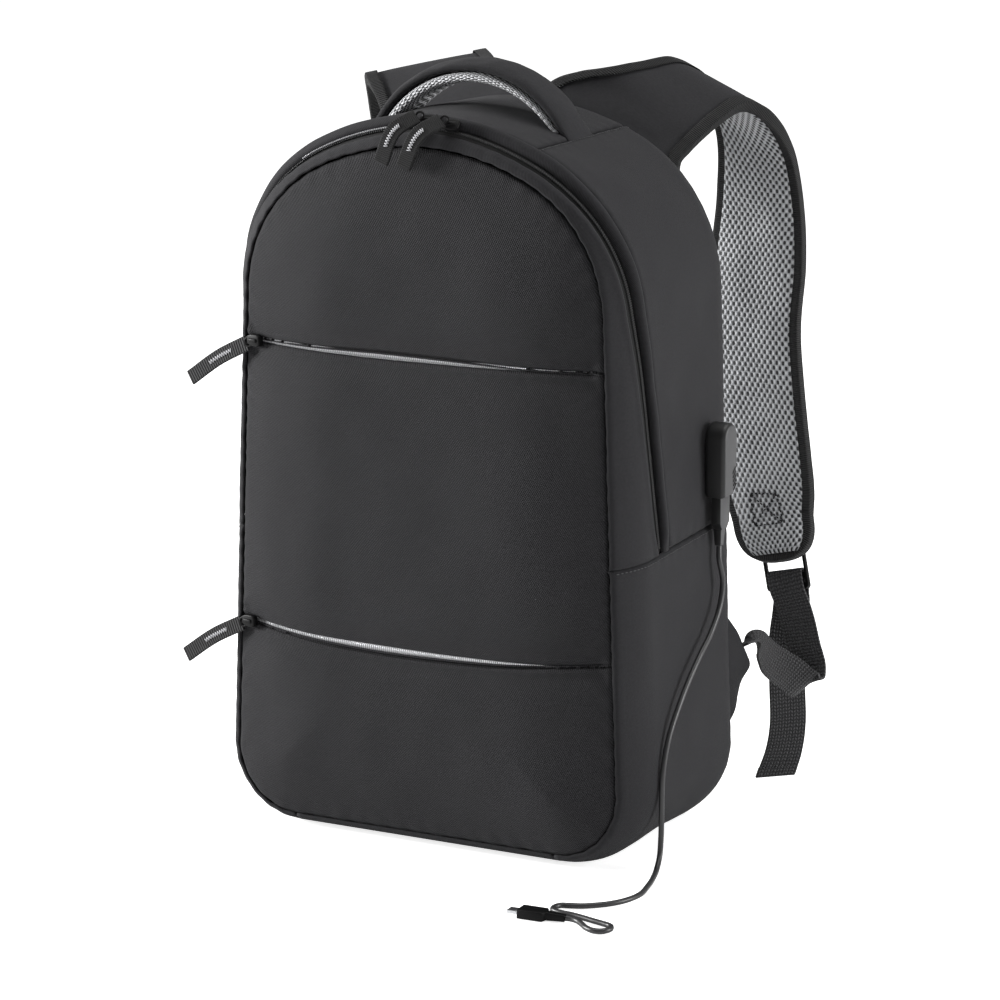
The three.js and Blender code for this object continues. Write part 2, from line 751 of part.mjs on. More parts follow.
// Ladder locks lie on the outer face of the strap ends, held there by a loop of webbing
const strapEnd = strapSurface(strapRows.right)(1, 0.5, 1);
const lockStand = strapWall / 2 + gap + webWall + webGap + lockWall / 2;
const lockPlace = new THREE.Matrix4().makeBasis(
  strapEnd.over.clone().negate(),
  strapEnd.along.clone().negate(),
  strapEnd.out,
);
lockPlace.setPosition(strapEnd.point.clone().addScaledVector(strapEnd.out, lockStand));

// Point in the lock's frame: across it, down from the strap's end, and out from its middle
const lockPoint = (x, down, out) => vec(x, -down, out).applyMatrix4(lockPlace);

function plate(width, height, corner) {
  const shape = new THREE.Shape();
  const w = width / 2;
  const h = height / 2;
  shape.moveTo(-w + corner, -h);
  shape.lineTo(w - corner, -h);
  shape.absarc(w - corner, -h + corner, corner, -Math.PI / 2, 0);
  shape.absarc(w - corner, h - corner, corner, 0, Math.PI / 2);
  shape.absarc(-w + corner, h - corner, corner, Math.PI / 2, Math.PI);
  shape.absarc(-w + corner, -h + corner, corner, Math.PI, Math.PI * 1.5);
  shape.closePath();
  return shape;
}

function slot(low, high) {
  const hole = new THREE.Path();
  const w = webWidth / 2 + 1.2;
  hole.moveTo(-w, low);
  hole.lineTo(-w, high);
  hole.lineTo(w, high);
  hole.lineTo(w, low);
  hole.closePath();
  return hole;
}

// The lock's bars from its foot up: foot bar, slot, middle bar, slot for the loop, top bar
const lockFoot = -lockHeight / 2;
const middleBar = { low: lockFoot + lockBar + lockSlot, high: lockFoot + lockBar * 2 + lockSlot };
const lockShape = plate(lockWidth, lockHeight, 3);
lockShape.holes.push(slot(lockFoot + lockBar, middleBar.low));
lockShape.holes.push(slot(middleBar.high, lockHeight / 2 - lockBar));
const lockGeometry = new THREE.ExtrudeGeometry(lockShape, {
  depth: lockWall,
  bevelEnabled: false,
  curveSegments: 3,
});
lockGeometry.translate(0, lockHeight / 2 - lockBelow, -lockWall / 2);
lockGeometry.applyMatrix4(lockPlace);

// Strip of webbing: rows give a middle point, the direction of its width, its share
// of the full width and its lean, the slope of the row along the strip
function strip(rows, wall) {
  const rings = rows.map(({ at, over, full = 1, lean = 0 }, i) => {
    const before = rows[Math.max(i - 1, 0)].at;
    const after = rows[Math.min(i + 1, rows.length - 1)].at;
    const along = after.clone().sub(before).normalize();
    const normal = along.clone().cross(over).normalize();
    const wide = normal.clone().cross(along).normalize().addScaledVector(along, lean);
    const corner = (a, n) => at.clone()
      .addScaledVector(wide, (a * webWidth * full) / 2)
      .addScaledVector(normal, (n * wall) / 2);
    return [corner(-1, -1), corner(1, -1), corner(1, 1), corner(-1, 1)];
  });
  return ringLoft(rings);
}

const smooth = (points, steps) => new THREE.CatmullRomCurve3(points).getSpacedPoints(steps);

// Loop that holds the lock: from the strap's face round the top bar and back
const lockTop = lockBelow - lockHeight;
const webOff = lockWall / 2 + webGap + webWall / 2;
const turnRows = [
  { past: 0.21, out: 1 },
  { past: 0.58, out: 0.55 },
  { past: 0.71, out: 0 },
  { past: 0.58, out: -0.55 },
  { past: 0.21, out: -1 },
].map(({ past, out }) => ({ past: past * webOff, out: out * webOff }));
const loopUnder = loopLift - webOff;
const loopOver = loopUnder + webWall + gap;
const loopRows = [
  { down: lockTop - loopLength, out: loopUnder },
  ...turnRows.map(({ past, out }) => ({ down: lockTop + lockBar + past, out: -out })),
  { down: lockTop - loopLength * 0.04, out: webOff },
  { down: lockTop - loopLength * 0.32, out: webOff * 0.5 },
  { down: lockTop - loopLength * 0.5, out: loopOver },
  { down: lockTop - loopLength, out: loopOver },
];
const lockLoop = strip(loopRows.map(({ down, out }) => ({
  at: lockPoint(0, down, out),
  over: strapEnd.over,
})), webWall);

// Wing tabs: rows from the top to the bottom give height as a share of tabHeight about
// tabCentreHeight and reach as a share of tabReach
const tabRows = [
  { up: 0.5, reach: 0.04 },
  { up: 0.4, reach: 0.3 },
  { up: 0.3, reach: 0.55 },
  { up: 0.18, reach: 0.78 },
  { up: 0.09, reach: 0.93 },
  { up: -0.02, reach: 1 },
  { up: -0.14, reach: 0.68 },
  { up: -0.25, reach: 0.55 },
  { up: -0.38, reach: 0.4 },
  { up: -0.5, reach: 0.04 },
];
const tabFlare = rad(20);
const tabOut = { x: Math.sin(tabFlare), y: Math.cos(tabFlare) };
const tabStart = (tabWall / 2) * tabOut.x;

function tabPoint(up, reach, side) {
  const z = tabCentreHeight + up * tabHeight;
  const root = gussetPoint(seamLengthAt(z), bagDepth, (tabWall - clothWall) / 2);
  return vec(
    root.x + tabOut.x * reach + (tabOut.y * side * tabWall) / 2,
    backY + tabStart + tabOut.y * reach - (tabOut.x * side * tabWall) / 2,
    z,
  );
}

const wingTab = sheet(
  tabRows.length - 1,
  2,
  (i, j) => tabPoint(tabRows[i].up, (j / 2) * tabReach * tabRows[i].reach, 1),
  (i, j) => tabPoint(tabRows[i].up, (j / 2) * tabReach * tabRows[i].reach, -1),
);

// Webbing from the wing tab to the lock, in a slack turn that hangs below both, round the
// lock's middle bar and down to its free end. Along is the share of the way from the tab to
// the lock's foot, drop a share of slackDrop and swing of slackSwing; turn and tilt aim its width.
const slackRows = [
  { along: 0, drop: -0.03, swing: 0, turn: 100, tilt: -10, full: 0.3 },
  { along: 0.17, drop: -0.02, swing: 0.03, turn: 90, tilt: 12, full: 0.6 },
  { along: 0.48, drop: 0.39, swing: 0.08, turn: 76, tilt: 26, full: 0.92 },
  { along: 0.76, drop: 0.74, swing: 0.42, turn: 44, tilt: 35, full: 1 },
  { along: 0.9, drop: 0.93, swing: 0.62, turn: 23, tilt: 41, full: 1 },
  { along: 1.01, drop: 1, swing: 0.66, turn: 12, tilt: 43, full: 1 },
  { along: 1.09, drop: 0.9, swing: 0.6, turn: 6, tilt: 34, full: 1 },
  { along: 1.09, drop: 0.66, swing: 0.42, turn: 3, tilt: 22, full: 1 },
  { along: 1.06, drop: 0.31, swing: 0.22, turn: 2, tilt: 17, full: 1 },
];
const tabTip = tabPoint(tabRows[4].up, tabReach + webTipGap, 0);
const frontWeb = -webOff;
const lockFootPoint = lockPoint(0, lockBelow, frontWeb);

function slackPoint({ along, drop, swing }) {
  const p = tabTip.clone().lerp(lockFootPoint, along);
  return p.add(vec(swing * slackSwing, 0, -drop * slackDrop));
}

function slackOver({ turn, tilt }) {
  const [a, b] = [rad(turn), rad(tilt)];
  return vec(Math.cos(a) * Math.cos(b), Math.sin(a) * Math.cos(b), Math.sin(b));
}

const slackPoints = [...slackRows.map(slackPoint), lockFootPoint];
const slackCurve = new THREE.CatmullRomCurve3(slackPoints);
const slackSteps = 22;
const slackStrip = Array.from({ length: slackSteps }, (_, k) => {
  const t = (k / slackSteps) * (slackPoints.length - 1);
  const i = Math.min(Math.floor(t), slackRows.length - 1);
  const next = slackRows[Math.min(i + 1, slackRows.length - 1)];
  const end = i + 1 < slackRows.length ? slackOver(next) : strapEnd.over;
  return {
    at: slackCurve.getPoint(k / slackSteps),
    over: slackOver(slackRows[i]).lerp(end, t - i),
    full: mix(slackRows[i].full, next.full, t - i),
  };
});

const barTop = lockBelow - (middleBar.high - lockFoot);
const wrapRows = [
  { down: lockBelow, out: frontWeb },
  ...turnRows.map(({ past, out }) => ({ down: barTop - past, out: -out })),
  { down: lockBelow, out: -frontWeb },
].map(({ down, out }) => ({ at: lockPoint(0, down, out), over: strapEnd.over }));

// Free end: down is a share of freeEndLength, side and back are shares of freeEndSway
const freeEndSway = 11;
const freeTurn = 0.7;
const freeTurnRows = 6;
const hemLean = -0.4;
const hemShare = 0.5;
const freeRows = [
  { down: 0.12, side: -0.2, back: 0.3 },
  { down: 0.27, side: -0.42, back: 0.36 },
  { down: 0.51, side: -0.36, back: 0.3 },
  { down: 0.73, side: -0.1, back: -0.09 },
  { down: 0.87, side: -0.15, back: -0.5 },
  { down: 1.01, side: -0.5, back: -0.95 },
];
const freeStart = lockPoint(0, lockBelow, -frontWeb);
const freeCurve = smooth([
  freeStart,
  ...freeRows.map(({ down, side, back }) => freeStart.clone().add(
    vec(side * freeEndSway, back * freeEndSway, -down * freeEndLength),
  )),
], 12);
const freeStrip = freeCurve.slice(1).map((at, k, all) => ({
  at,
  over: strapEnd.over.clone().lerp(vec(1, freeTurn, 0), Math.min(1, (k + 1) / freeTurnRows)).normalize(),
  lean: hemLean * Math.max(0, ((k + 1) / all.length - hemShare) / (1 - hemShare)),
}));
const webbing = strip([...slackStrip, ...wrapRows, ...freeStrip], webWall);

for (const { name, sign } of sides) {
  add(`ladder_lock_${name}`, onSide(lockGeometry, sign), hardPlastic);
  add(`lock_loop_${name}`, onSide(lockLoop, sign), tape);
  add(`wing_tab_${name}`, onSide(wingTab, sign), darkCloth);
  add(`webbing_${name}`, onSide(webbing, sign), tape);
}

// Zip sliders, their pullers and pull tabs. A slider rides on its zip; out points away
// from the bag there and along the way that the pull hangs.
function slider(at, out, along, seat) {
  const side = along.clone().cross(out).normalize();
  const ring = (l, w, low) => [[-1, 0], [1, 0], [1, 1], [-1, 1]].map(([a, h]) => at.clone()
    .addScaledVector(along, l)
    .addScaledVector(side, (a * w) / 2)
    .addScaledVector(out, low + h * sliderWall));
  const shares = [[-0.5, 0.7], [-0.3, 1], [0.2, 0.95], [0.5, 0.6]];
  return ringLoft(shares.map(([l, w]) => ring(l * sliderLength, w * sliderWidth, seat)));
}

function pullTab(start, mid, end, over) {
  const curve = new THREE.CatmullRomCurve3([start, mid, end]);
  const count = 6;
  const rows = Array.from({ length: count + 1 }, (_, k) => ({
    at: curve.getPoint(k / count),
    over,
    full: pullWidth / webWidth,
  }));
  return strip(rows, pullWall);
}

function pocketPull(zip) {
  const edge = seamLengthAt(pocketZipHeights[zip]);
  const x = pocketSliderInset - seamPoint(edge).x;
  const z = pocketZipHeight(zip, x);
  const face = panelPoint(x, z, 0);
  const out = vec(-0.35, -1, 0).normalize();
  const along = vec(-1, 0.25, 0).normalize();
  const body = slider(face, out, along, sliderSeats.pocket);
  const start = face.clone()
    .addScaledVector(out, sliderSeats.pocket + sliderWall / 2 + gap)
    .addScaledVector(along, sliderLength / 2 + pullGap)
    .add(vec(0, 0, -pocketPullHang));
  const way = vec(-0.85, 0, -0.53).normalize();
  const end = start.clone().addScaledVector(way, pocketPullLength);
  const mid = start.clone().lerp(end, 0.5).add(vec(0, 0, pocketPullBow));
  return { body, tab: pullTab(start, mid, end, way.clone().cross(out).normalize()) };
}

for (const zip of Object.keys(pocketZipHeights)) {
  const { body, tab } = pocketPull(zip);
  add(`pocket_slider_${zip}`, body, hardPlastic);
  add(`pocket_pull_${zip}`, tab, tape);
}

for (const [place, name] of ['a', 'b'].entries()) {
  const along = topSliderFirst + place * topSliderStep;
  const depth = mainZipAt(along);
  const seat = gussetPoint(along, depth, 0);
  const out = vec(seat.x / crownRadius, -0.75, 0.66).normalize();
  const way = vec(-1, 0, 0);
  const body = slider(seat, out, way, sliderSeats.top);
  const start = seat.clone()
    .addScaledVector(out, sliderSeats.top + sliderWall + topPullLift + pullWall / 2)
    .addScaledVector(way, sliderLength / 2);
  const endX = seat.x - topPullLength * topPullSweep;
  const endZ = start.z - topPullLength * topPullDrop;
  const end = vec(endX, frontY - panelStand(endX, endZ) - pullWall - topPullStand, endZ);
  const bow = vec(-0.065, -0.065, 0.087).multiplyScalar(topPullLength);
  const mid = start.clone().lerp(end, 0.45).add(bow);
  add(`top_slider_${name}`, body, hardPlastic);
  add(`top_pull_${name}`, pullTab(start, mid, end, vec(0.85, 0, -0.5).normalize()), tape);
}

// Charging port on the right side, the lead's plug in it, the lead and its far plug
const portSeat = gussetPoint(seamLengthAt(portBase + portHeight / 2), portBackSet, gap);
const portLow = gussetPoint(seamLengthAt(portBase), portBackSet, gap).x;
const portShape = new THREE.Shape();
const portHalf = portWidth / 2;
portShape.moveTo(-portHalf, 0);
portShape.lineTo(portHalf * 0.55, 0);
portShape.lineTo(portHalf, portHeight * 0.2);
portShape.lineTo(portHalf, portHeight - portHalf);
portShape.absarc(0, portHeight - portHalf, portHalf, 0, Math.PI);
portShape.closePath();
const portGeometry = new THREE.ExtrudeGeometry(portShape, {
  depth: portStand - portRound,
  bevelEnabled: true,
  bevelSize: portEdge,
  bevelThickness: portRound,
  bevelOffset: -portEdge,
  bevelSegments: 1,
  curveSegments: 8,
});
portGeometry.translate(0, 0, portRound);
portGeometry.applyMatrix4(new THREE.Matrix4().makeBasis(vec(0, 1, 0), vec(0, 0, 1), vec(1, 0, 0)));
portGeometry.applyMatrix4(new THREE.Matrix4().makeTranslation(portLow, portSeat.y, portBase));
add('charging_port', portGeometry, greyRubber);

const leadStart = vec(...leadRoute[0]);
const plugX = portLow + portStand * 0.55;

function boxRing(centre, width, wall, z) {
  const [w, h] = [width / 2, wall / 2];
  return [[-h, -w], [h, -w], [h, w], [-h, w]].map(([x, y]) => vec(centre.x + x, centre.y + y, z));
}

const plugCentre = vec(plugX, leadStart.y, 0);
const plugTop = portBase - gap;
add('port_plug', ringLoft([
  boxRing(plugCentre, portPlug.width, portPlug.wall, plugTop),
  boxRing(plugCentre, portPlug.width, portPlug.wall, plugTop - portPlug.length * 0.8),
  boxRing(plugCentre, portPlug.width * 0.55, portPlug.wall * 0.9, plugTop - portPlug.length),
  boxRing(leadStart, leadDiameter * 1.8, leadDiameter * 1.6, plugTop - portPlug.length),
  boxRing(leadStart, leadDiameter * 1.2, leadDiameter * 1.2, leadStart.z + 2 * gap),
]), hardPlastic);

const circle = new THREE.Shape();
circle.absarc(0, 0, leadDiameter / 2, 0, Math.PI * 2);
const leadCurve = new THREE.CatmullRomCurve3(leadRoute.map((p) => vec(...p)));
const leadGeometry = new THREE.ExtrudeGeometry(circle, {
  extrudePath: leadCurve,
  steps: leadSteps,
  curveSegments: 4,
});
add('lead', leadGeometry, greyRubber);

const leadEnd = vec(...leadRoute[leadRoute.length - 1]);
const leadAim = leadCurve.getTangent(1);
const leadSide = leadAim.clone().cross(vec(0, 0, 1)).normalize();
const leadUp = leadSide.clone().cross(leadAim).normalize();

function endRing(distance, width, wall) {
  return [[-1, -1], [1, -1], [1, 1], [-1, 1]].map(([a, b]) => leadEnd.clone()
    .addScaledVector(leadAim, distance)
    .addScaledVector(leadSide, (a * width) / 2)
    .addScaledVector(leadUp, (b * wall) / 2));
}

const reliefEnd = gap + reliefLength;
add('lead_plug', ringLoft([
  endRing(gap, leadDiameter * 1.2, leadDiameter * 1.2),
  endRing(reliefEnd, leadDiameter * 1.5, leadDiameter * 1.5),
  endRing(reliefEnd + plugShoulder, leadPlug.width, leadPlug.wall),
  endRing(reliefEnd + leadPlug.length, leadPlug.width, leadPlug.wall),
]), hardPlastic);
const tipStart = reliefEnd + leadPlug.length + gap;
add('lead_tip', ringLoft([
  endRing(tipStart, leadTip.width, leadTip.wall),
  endRing(tipStart + leadTip.length, leadTip.width, leadTip.wall),
]), steel);

export default backpack;
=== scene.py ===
import math

import bmesh
import bpy
from mathutils import Matrix, Vector, noise


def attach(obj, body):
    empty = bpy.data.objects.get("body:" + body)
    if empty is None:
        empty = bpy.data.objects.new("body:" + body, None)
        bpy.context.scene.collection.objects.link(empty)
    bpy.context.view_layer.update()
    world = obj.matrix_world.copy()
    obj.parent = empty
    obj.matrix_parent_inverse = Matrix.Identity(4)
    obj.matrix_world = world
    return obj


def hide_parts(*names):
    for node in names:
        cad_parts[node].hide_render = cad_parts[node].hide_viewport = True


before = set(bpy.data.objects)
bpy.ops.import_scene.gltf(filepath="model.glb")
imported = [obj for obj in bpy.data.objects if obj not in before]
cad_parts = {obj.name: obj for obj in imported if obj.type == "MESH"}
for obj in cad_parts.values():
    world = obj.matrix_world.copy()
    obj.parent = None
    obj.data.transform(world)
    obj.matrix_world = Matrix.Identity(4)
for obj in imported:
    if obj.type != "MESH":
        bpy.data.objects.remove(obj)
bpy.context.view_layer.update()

# The bag is seen from its right front, a little from above, from 2.6 m away.
camera_target = Vector((0.055, -0.075, 0.231))
camera_azimuth, camera_elevation = math.radians(28), math.radians(13)
camera_distance = 2.6
camera_lens = bpy.data.cameras.new("camera")
camera_lens.lens = 152.8
camera_lens.sensor_width = 36
camera = bpy.data.objects.new("camera", camera_lens)
sight = Vector((
    math.sin(camera_azimuth) * math.cos(camera_elevation),
    -math.cos(camera_azimuth) * math.cos(camera_elevation),
    math.sin(camera_elevation),
))
camera.location = camera_target + sight * camera_distance
camera.rotation_euler = sight.to_track_quat("Z", "Y").to_euler()
bpy.context.scene.collection.objects.link(camera)
bpy.context.scene.camera = camera
bpy.context.scene.view_settings.view_transform = "Standard"

# The charging lead is a round cord of soft dark grey plastic. It is pressed into the plug
# at the port, hangs down the bag's side, lies on the floor and ends in a flat plug. Pieces
# are laid out in millimetres from here on and finished in metres; weaves are in metres.
MM = 0.001
lead_diameter = 3.5
lead_route = [
    (149.6, 40, 188), (150.8, 38, 180), (152, 41, 166), (152.2, 37, 151), (152.2, 24, 136),
    (152.2, 8, 125), (152, -8, 112), (151.8, -22, 98), (151.6, -34, 83), (151.4, -40, 69),
    (151.3, -42.5, 57), (151.2, -43, 44), (151.2, -43, 31), (151.2, -43.5, 19), (151.6, -46, 9),
    (153.6, -54, 3.4), (157.6, -67, 2.1), (162, -84, 2.1), (164.8, -100, 2.1), (162.5, -114, 2.1),
    (157, -124.5, 2.1), (151, -131, 2.1), (144, -136.5, 2.1), (137, -139.5, 2.1), (132, -141.5, 2.1),
    (130, -146.5, 2.1), (131.5, -151, 2.1), (137, -153.5, 2.1), (147, -154.5, 2.1), (155, -156.3, 2.1),
    (163, -158.5, 2.1), (171, -160.5, 2.1), (176, -162.5, 2.1), (178, -167.5, 2.1), (176, -172.5, 2.1),
    (171, -174.5, 2.1), (165, -172.6, 2.3), (160.5, -169.2, 2.7), (156, -166, 3.1), (151.5, -164.6, 3.3),
    (147.5, -164.8, 3.3),
]


def mix(a, b, share):
    return a + (b - a) * share


def clamp(value, low, high):
    return min(max(value, low), high)


def on_curve(points, share):
    """Point at a share of the way along the smooth curve through all the points."""
    last = len(points) - 1
    first = min(int(share * last), last - 1)
    part = share * last - first
    b, c = points[first], points[first + 1]
    a = points[first - 1] if first > 0 else b * 2 - c
    d = points[first + 2] if first + 2 <= last else c * 2 - b
    steps = [max((q - p).length, 1e-6) ** 0.5 for p, q in ((a, b), (b, c), (c, d))]
    near, mid, far = steps
    leave = ((b - a) / near - (c - a) / (near + mid) + (c - b) / mid) * mid
    arrive = ((c - b) / mid - (d - b) / (mid + far) + (d - c) / far) * mid
    bend = b * -3 + c * 3 - leave * 2 - arrive
    twist = b * 2 - c * 2 + leave + arrive
    return b + leave * part + bend * part**2 + twist * part**3


def add_node(tree, kind, **settings):
    node = tree.nodes.new("ShaderNode" + kind)
    for name, value in settings.items():
        setattr(node, name, value)
    return node


def feed(tree, node, *sources):
    """Fills a node's first inputs with plain values or with other nodes' outputs."""
    for place, source in enumerate(sources):
        if source is None:
            continue
        if hasattr(source, "is_linked"):
            tree.links.new(source, node.inputs[place])
        else:
            node.inputs[place].default_value = source
    return node.outputs[0]


def maths(tree, operation, *sources):
    return feed(tree, add_node(tree, "Math", operation=operation), *sources)


def shader(name, colour, roughness, sheen=0.0, metallic=0.0, coat=0.0, specular=0.5):
    """New material; colour is a grey level or three values."""
    made = bpy.data.materials.new(name)
    made.use_nodes = True
    surface = made.node_tree.nodes["Principled BSDF"]
    rgb = colour if isinstance(colour, tuple) else (colour, colour, colour * 1.03)
    surface.inputs["Base Color"].default_value = (*rgb, 1)
    surface.inputs["Roughness"].default_value = roughness
    surface.inputs["Metallic"].default_value = metallic
    surface.inputs["Sheen Weight"].default_value = sheen
    surface.inputs["Sheen Roughness"].default_value = 0.5
    surface.inputs["Coat Weight"].default_value = coat
    surface.inputs["Specular IOR Level"].default_value = specular
    return made, made.node_tree, surface


def group_tree(name, inputs, outputs):
    """New node group with named inputs, each a kind or a default value, and named outputs."""
    made = bpy.data.node_groups.new(name, "ShaderNodeTree")
    for side, sockets in (("INPUT", inputs), ("OUTPUT", outputs)):
        for label, value in sockets.items():
            kind = value if isinstance(value, str) else "Float"
            socket = made.interface.new_socket(label, in_out=side, socket_type="NodeSocket" + kind)
            if not isinstance(value, str):
                socket.default_value = value
    return made, made.nodes.new("NodeGroupInput").outputs, made.nodes.new("NodeGroupOutput").inputs


def place_group(tree, made, **values):
    """Places a node group in a material, with its own values or links."""
    node = add_node(tree, "Group", node_tree=made)
    for label, value in values.items():
        socket = node.inputs[label.replace("_", " ")]
        if hasattr(value, "is_linked"):
            tree.links.new(value, socket)
        else:
            socket.default_value = value
    return node.outputs


def bump(tree, surface, height, depth, normal=None):
    """Bump of that depth in metres; height runs from 0 to 1."""
    node = add_node(tree, "Bump")
    node.inputs["Strength"].default_value = 1
    node.inputs["Distance"].default_value = depth
    tree.links.new(height, node.inputs["Height"])
    if normal:
        tree.links.new(normal, node.inputs["Normal"])
    tree.links.new(node.outputs["Normal"], surface.inputs["Normal"])
    return node.outputs["Normal"]


# Grain: the uneven finish of moulded plastic and of cloth, from large and fine noise.
grain, told, given = group_tree(
    "grain",
    {"Coordinates": "Vector", "Patch": 20.0, "Speck": 900.0, "Depth": 0.1},
    {"Shade": "Float", "Height": "Float"},
)
patches = add_node(grain, "TexNoise")
feed(grain, patches, told["Coordinates"], None, told["Patch"], 3.0)
specks = add_node(grain, "TexNoise")
feed(grain, specks, told["Coordinates"], None, told["Speck"], 2.0)
both = maths(grain, "ADD", patches.outputs["Fac"], maths(grain, "MULTIPLY", specks.outputs["Fac"], 0.6))
shade = maths(grain, "MULTIPLY", maths(grain, "SUBTRACT", both, 0.8), told["Depth"])
grain.links.new(maths(grain, "ADD", shade, 1.0), given["Shade"])
grain.links.new(specks.outputs["Fac"], given["Height"])


def tint(tree, surface, colour, shade_socket):
    """Base colour times a shade that changes over the surface."""
    node = add_node(tree, "VectorMath", operation="SCALE")
    node.inputs[0].default_value = colour
    tree.links.new(shade_socket, node.inputs["Scale"])
    tree.links.new(node.outputs[0], surface.inputs["Base Color"])


def moulded(name, grey, roughness, depth=0.1, coat=0.0, bump_depth=0.00002, specular=0.5):
    """Moulded plastic or rubber with a slight grain."""
    made, tree, surface = shader(name, grey, roughness, coat=coat, specular=specular)
    spot = add_node(tree, "TexCoord").outputs["Object"]
    out = place_group(tree, grain, Coordinates=spot, Patch=60.0, Speck=2500.0, Depth=depth)
    tint(tree, surface, (grey, grey, grey * 1.04), out["Shade"])
    bump(tree, surface, out["Height"], bump_depth)
    return made


lead_plastic = moulded("lead_plastic", 0.03, 0.35)
lead_points = [Vector(p) for p in lead_route]
lead_curve = bpy.data.curves.new("lead_cord", "CURVE")
lead_curve.dimensions = "3D"
lead_curve.bevel_depth = lead_diameter / 2 * MM
lead_curve.bevel_resolution = 4
lead_curve.use_fill_caps = True
lead_line = lead_curve.splines.new("POLY")
lead_steps = 320
lead_line.points.add(lead_steps)
for step, knot in enumerate(lead_line.points):
    knot.co = (*(on_curve(lead_points, step / lead_steps) * MM), 1)
lead_cord = bpy.data.objects.new("lead_cord", lead_curve)
bpy.context.scene.collection.objects.link(lead_cord)
lead_curve.materials.append(lead_plastic)
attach(lead_cord, "root")
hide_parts("lead")

# The plugs at both ends of the lead, its bright tip and the port they belong to are moulded
# pieces with softened edges. The far plug has a ribbed strain relief.


def softened(node, name, material, slot, width=0.4, segments=2, angle=28):
    """Piece made from a CAD node with its sharp edges rounded."""
    made = bmesh.new()
    made.from_mesh(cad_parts[node].data)
    bmesh.ops.remove_doubles(made, verts=made.verts, dist=1e-6)
    bmesh.ops.dissolve_limit(
        made, angle_limit=math.radians(1), verts=made.verts, edges=made.edges
    )
    sharp = [e for e in made.edges if e.calc_face_angle(0) > math.radians(angle)]
    bmesh.ops.bevel(
        made, geom=sharp, affect="EDGES", offset=width * MM, segments=segments,
        profile=0.5, material=-1, clamp_overlap=True,
    )
    return finish_piece(made, name, material, slot, node)


def finish_piece(made, name, material, slot, *nodes, smooth=True):
    """Turns a bmesh in metres into a piece that rides on the bag."""
    mesh = bpy.data.meshes.new(name)
    made.to_mesh(mesh)
    made.free()
    mesh.materials.append(material)
    if smooth:
        mesh.shade_smooth()
    piece = bpy.data.objects.new(name, mesh)
    bpy.context.scene.collection.objects.link(piece)
    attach(piece, "root")
    if nodes:
        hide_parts(*nodes)
    return piece


black_plastic = moulded("black_plastic", 0.004, 0.42, specular=0.13)
grey_plastic = moulded("grey_plastic", 0.012, 0.4)
port_rubber = moulded("port_rubber", 0.012, 0.45, bump_depth=0.00004)
bright_steel = shader("bright_steel", (0.72, 0.73, 0.75), 0.28, metallic=1.0)[0]
port_plug = softened("port_plug", "port_plug_body", grey_plastic, "hard_plastic", 0.6)
far_plug = softened("lead_plug", "lead_plug_body", black_plastic, "hard_plastic", 0.7)
lead_tip = softened("lead_tip", "lead_tip_shell", bright_steel, "steel", 0.2)
charging_port = softened("charging_port", "charging_port_body", port_rubber, "grey_rubber", 1.0, 3)
# Faces of port and plug that point out to the bag's side (+x) get a lighter grey: a painted reflection and
# painted light of the bright surroundings on that face. The other faces keep their dark material.
port_painted_reflection = moulded("port_painted_reflection", 0.055, 0.5, bump_depth=0.00004)
for reflecting_piece in (charging_port, port_plug):
    reflecting_piece.data.materials.append(port_painted_reflection)
    for face in reflecting_piece.data.polygons:
        face.material_index = 1 if face.normal.x > 0.8 else 0

# Five fine slanted slits lie low on the port's outer face, one above the other, towards its rear edge. Each
# is a thin near-black bar almost level with the face: a painted shade standing in for the dark inside of
# the slit.
slits = bmesh.new()
slit_size, slit_slant = Vector((1, 5.5, 0.7)), 0.75
for k in range(5):
    seat = Vector((157.75, 44.6 - 0.4 * k, 226.5 + 2.7 * k))
    bar = bmesh.ops.create_cube(slits, size=1)["verts"]
    bmesh.ops.scale(slits, verts=bar, vec=slit_size * MM)
    bmesh.ops.rotate(slits, verts=bar, cent=(0, 0, 0), matrix=Matrix.Rotation(slit_slant, 3, "X"))
    bmesh.ops.translate(slits, verts=bar, vec=seat * MM)
finish_piece(slits, "port_slits", black_plastic, "grey_rubber", smooth=False)

# The bag's cloth is a fine black twill on a stuffed form. Its front seam runs round the bag
# as a crown arc, shoulder arcs, leaning sides, bottom corners and a straight bottom, and the
# gusset behind it swells out from that seam.
bag_depth = 150
seam_lift, seam_height = 9, 435
shoulder_half_width = 124
corner_radius, shoulder_radius, crown_radius = 42, 90, 165
lean = math.radians(2.04)
front_y, back_y = -bag_depth / 2, bag_depth / 2
crown_centre = seam_lift + seam_height - crown_radius
arc_step = crown_radius - shoulder_radius
crown_angle = math.acos((shoulder_half_width - shoulder_radius * math.cos(lean)) / arc_step)
shoulder_centre = (
    arc_step * math.cos(crown_angle),
    crown_centre + arc_step * math.sin(crown_angle),
)
side_top = (
    shoulder_centre[0] + shoulder_radius * math.cos(lean),
    shoulder_centre[1] + shoulder_radius * math.sin(lean),
)
corner_centre = (
    side_top[0] + (side_top[1] - seam_lift - corner_radius) * math.tan(lean)
    - corner_radius / math.cos(lean),
    seam_lift + corner_radius,
)
side_base = (
    corner_centre[0] + corner_radius * math.cos(lean),
    corner_centre[1] + corner_radius * math.sin(lean),
)
crown_end = crown_radius * (math.pi / 2 - crown_angle)
shoulder_end = crown_end + shoulder_radius * (crown_angle - lean)
side_end = shoulder_end + math.hypot(side_top[0] - side_base[0], side_top[1] - side_base[1])
corner_end = side_end + corner_radius * (math.pi / 2 + lean)
half_round = corner_end + corner_centre[0]


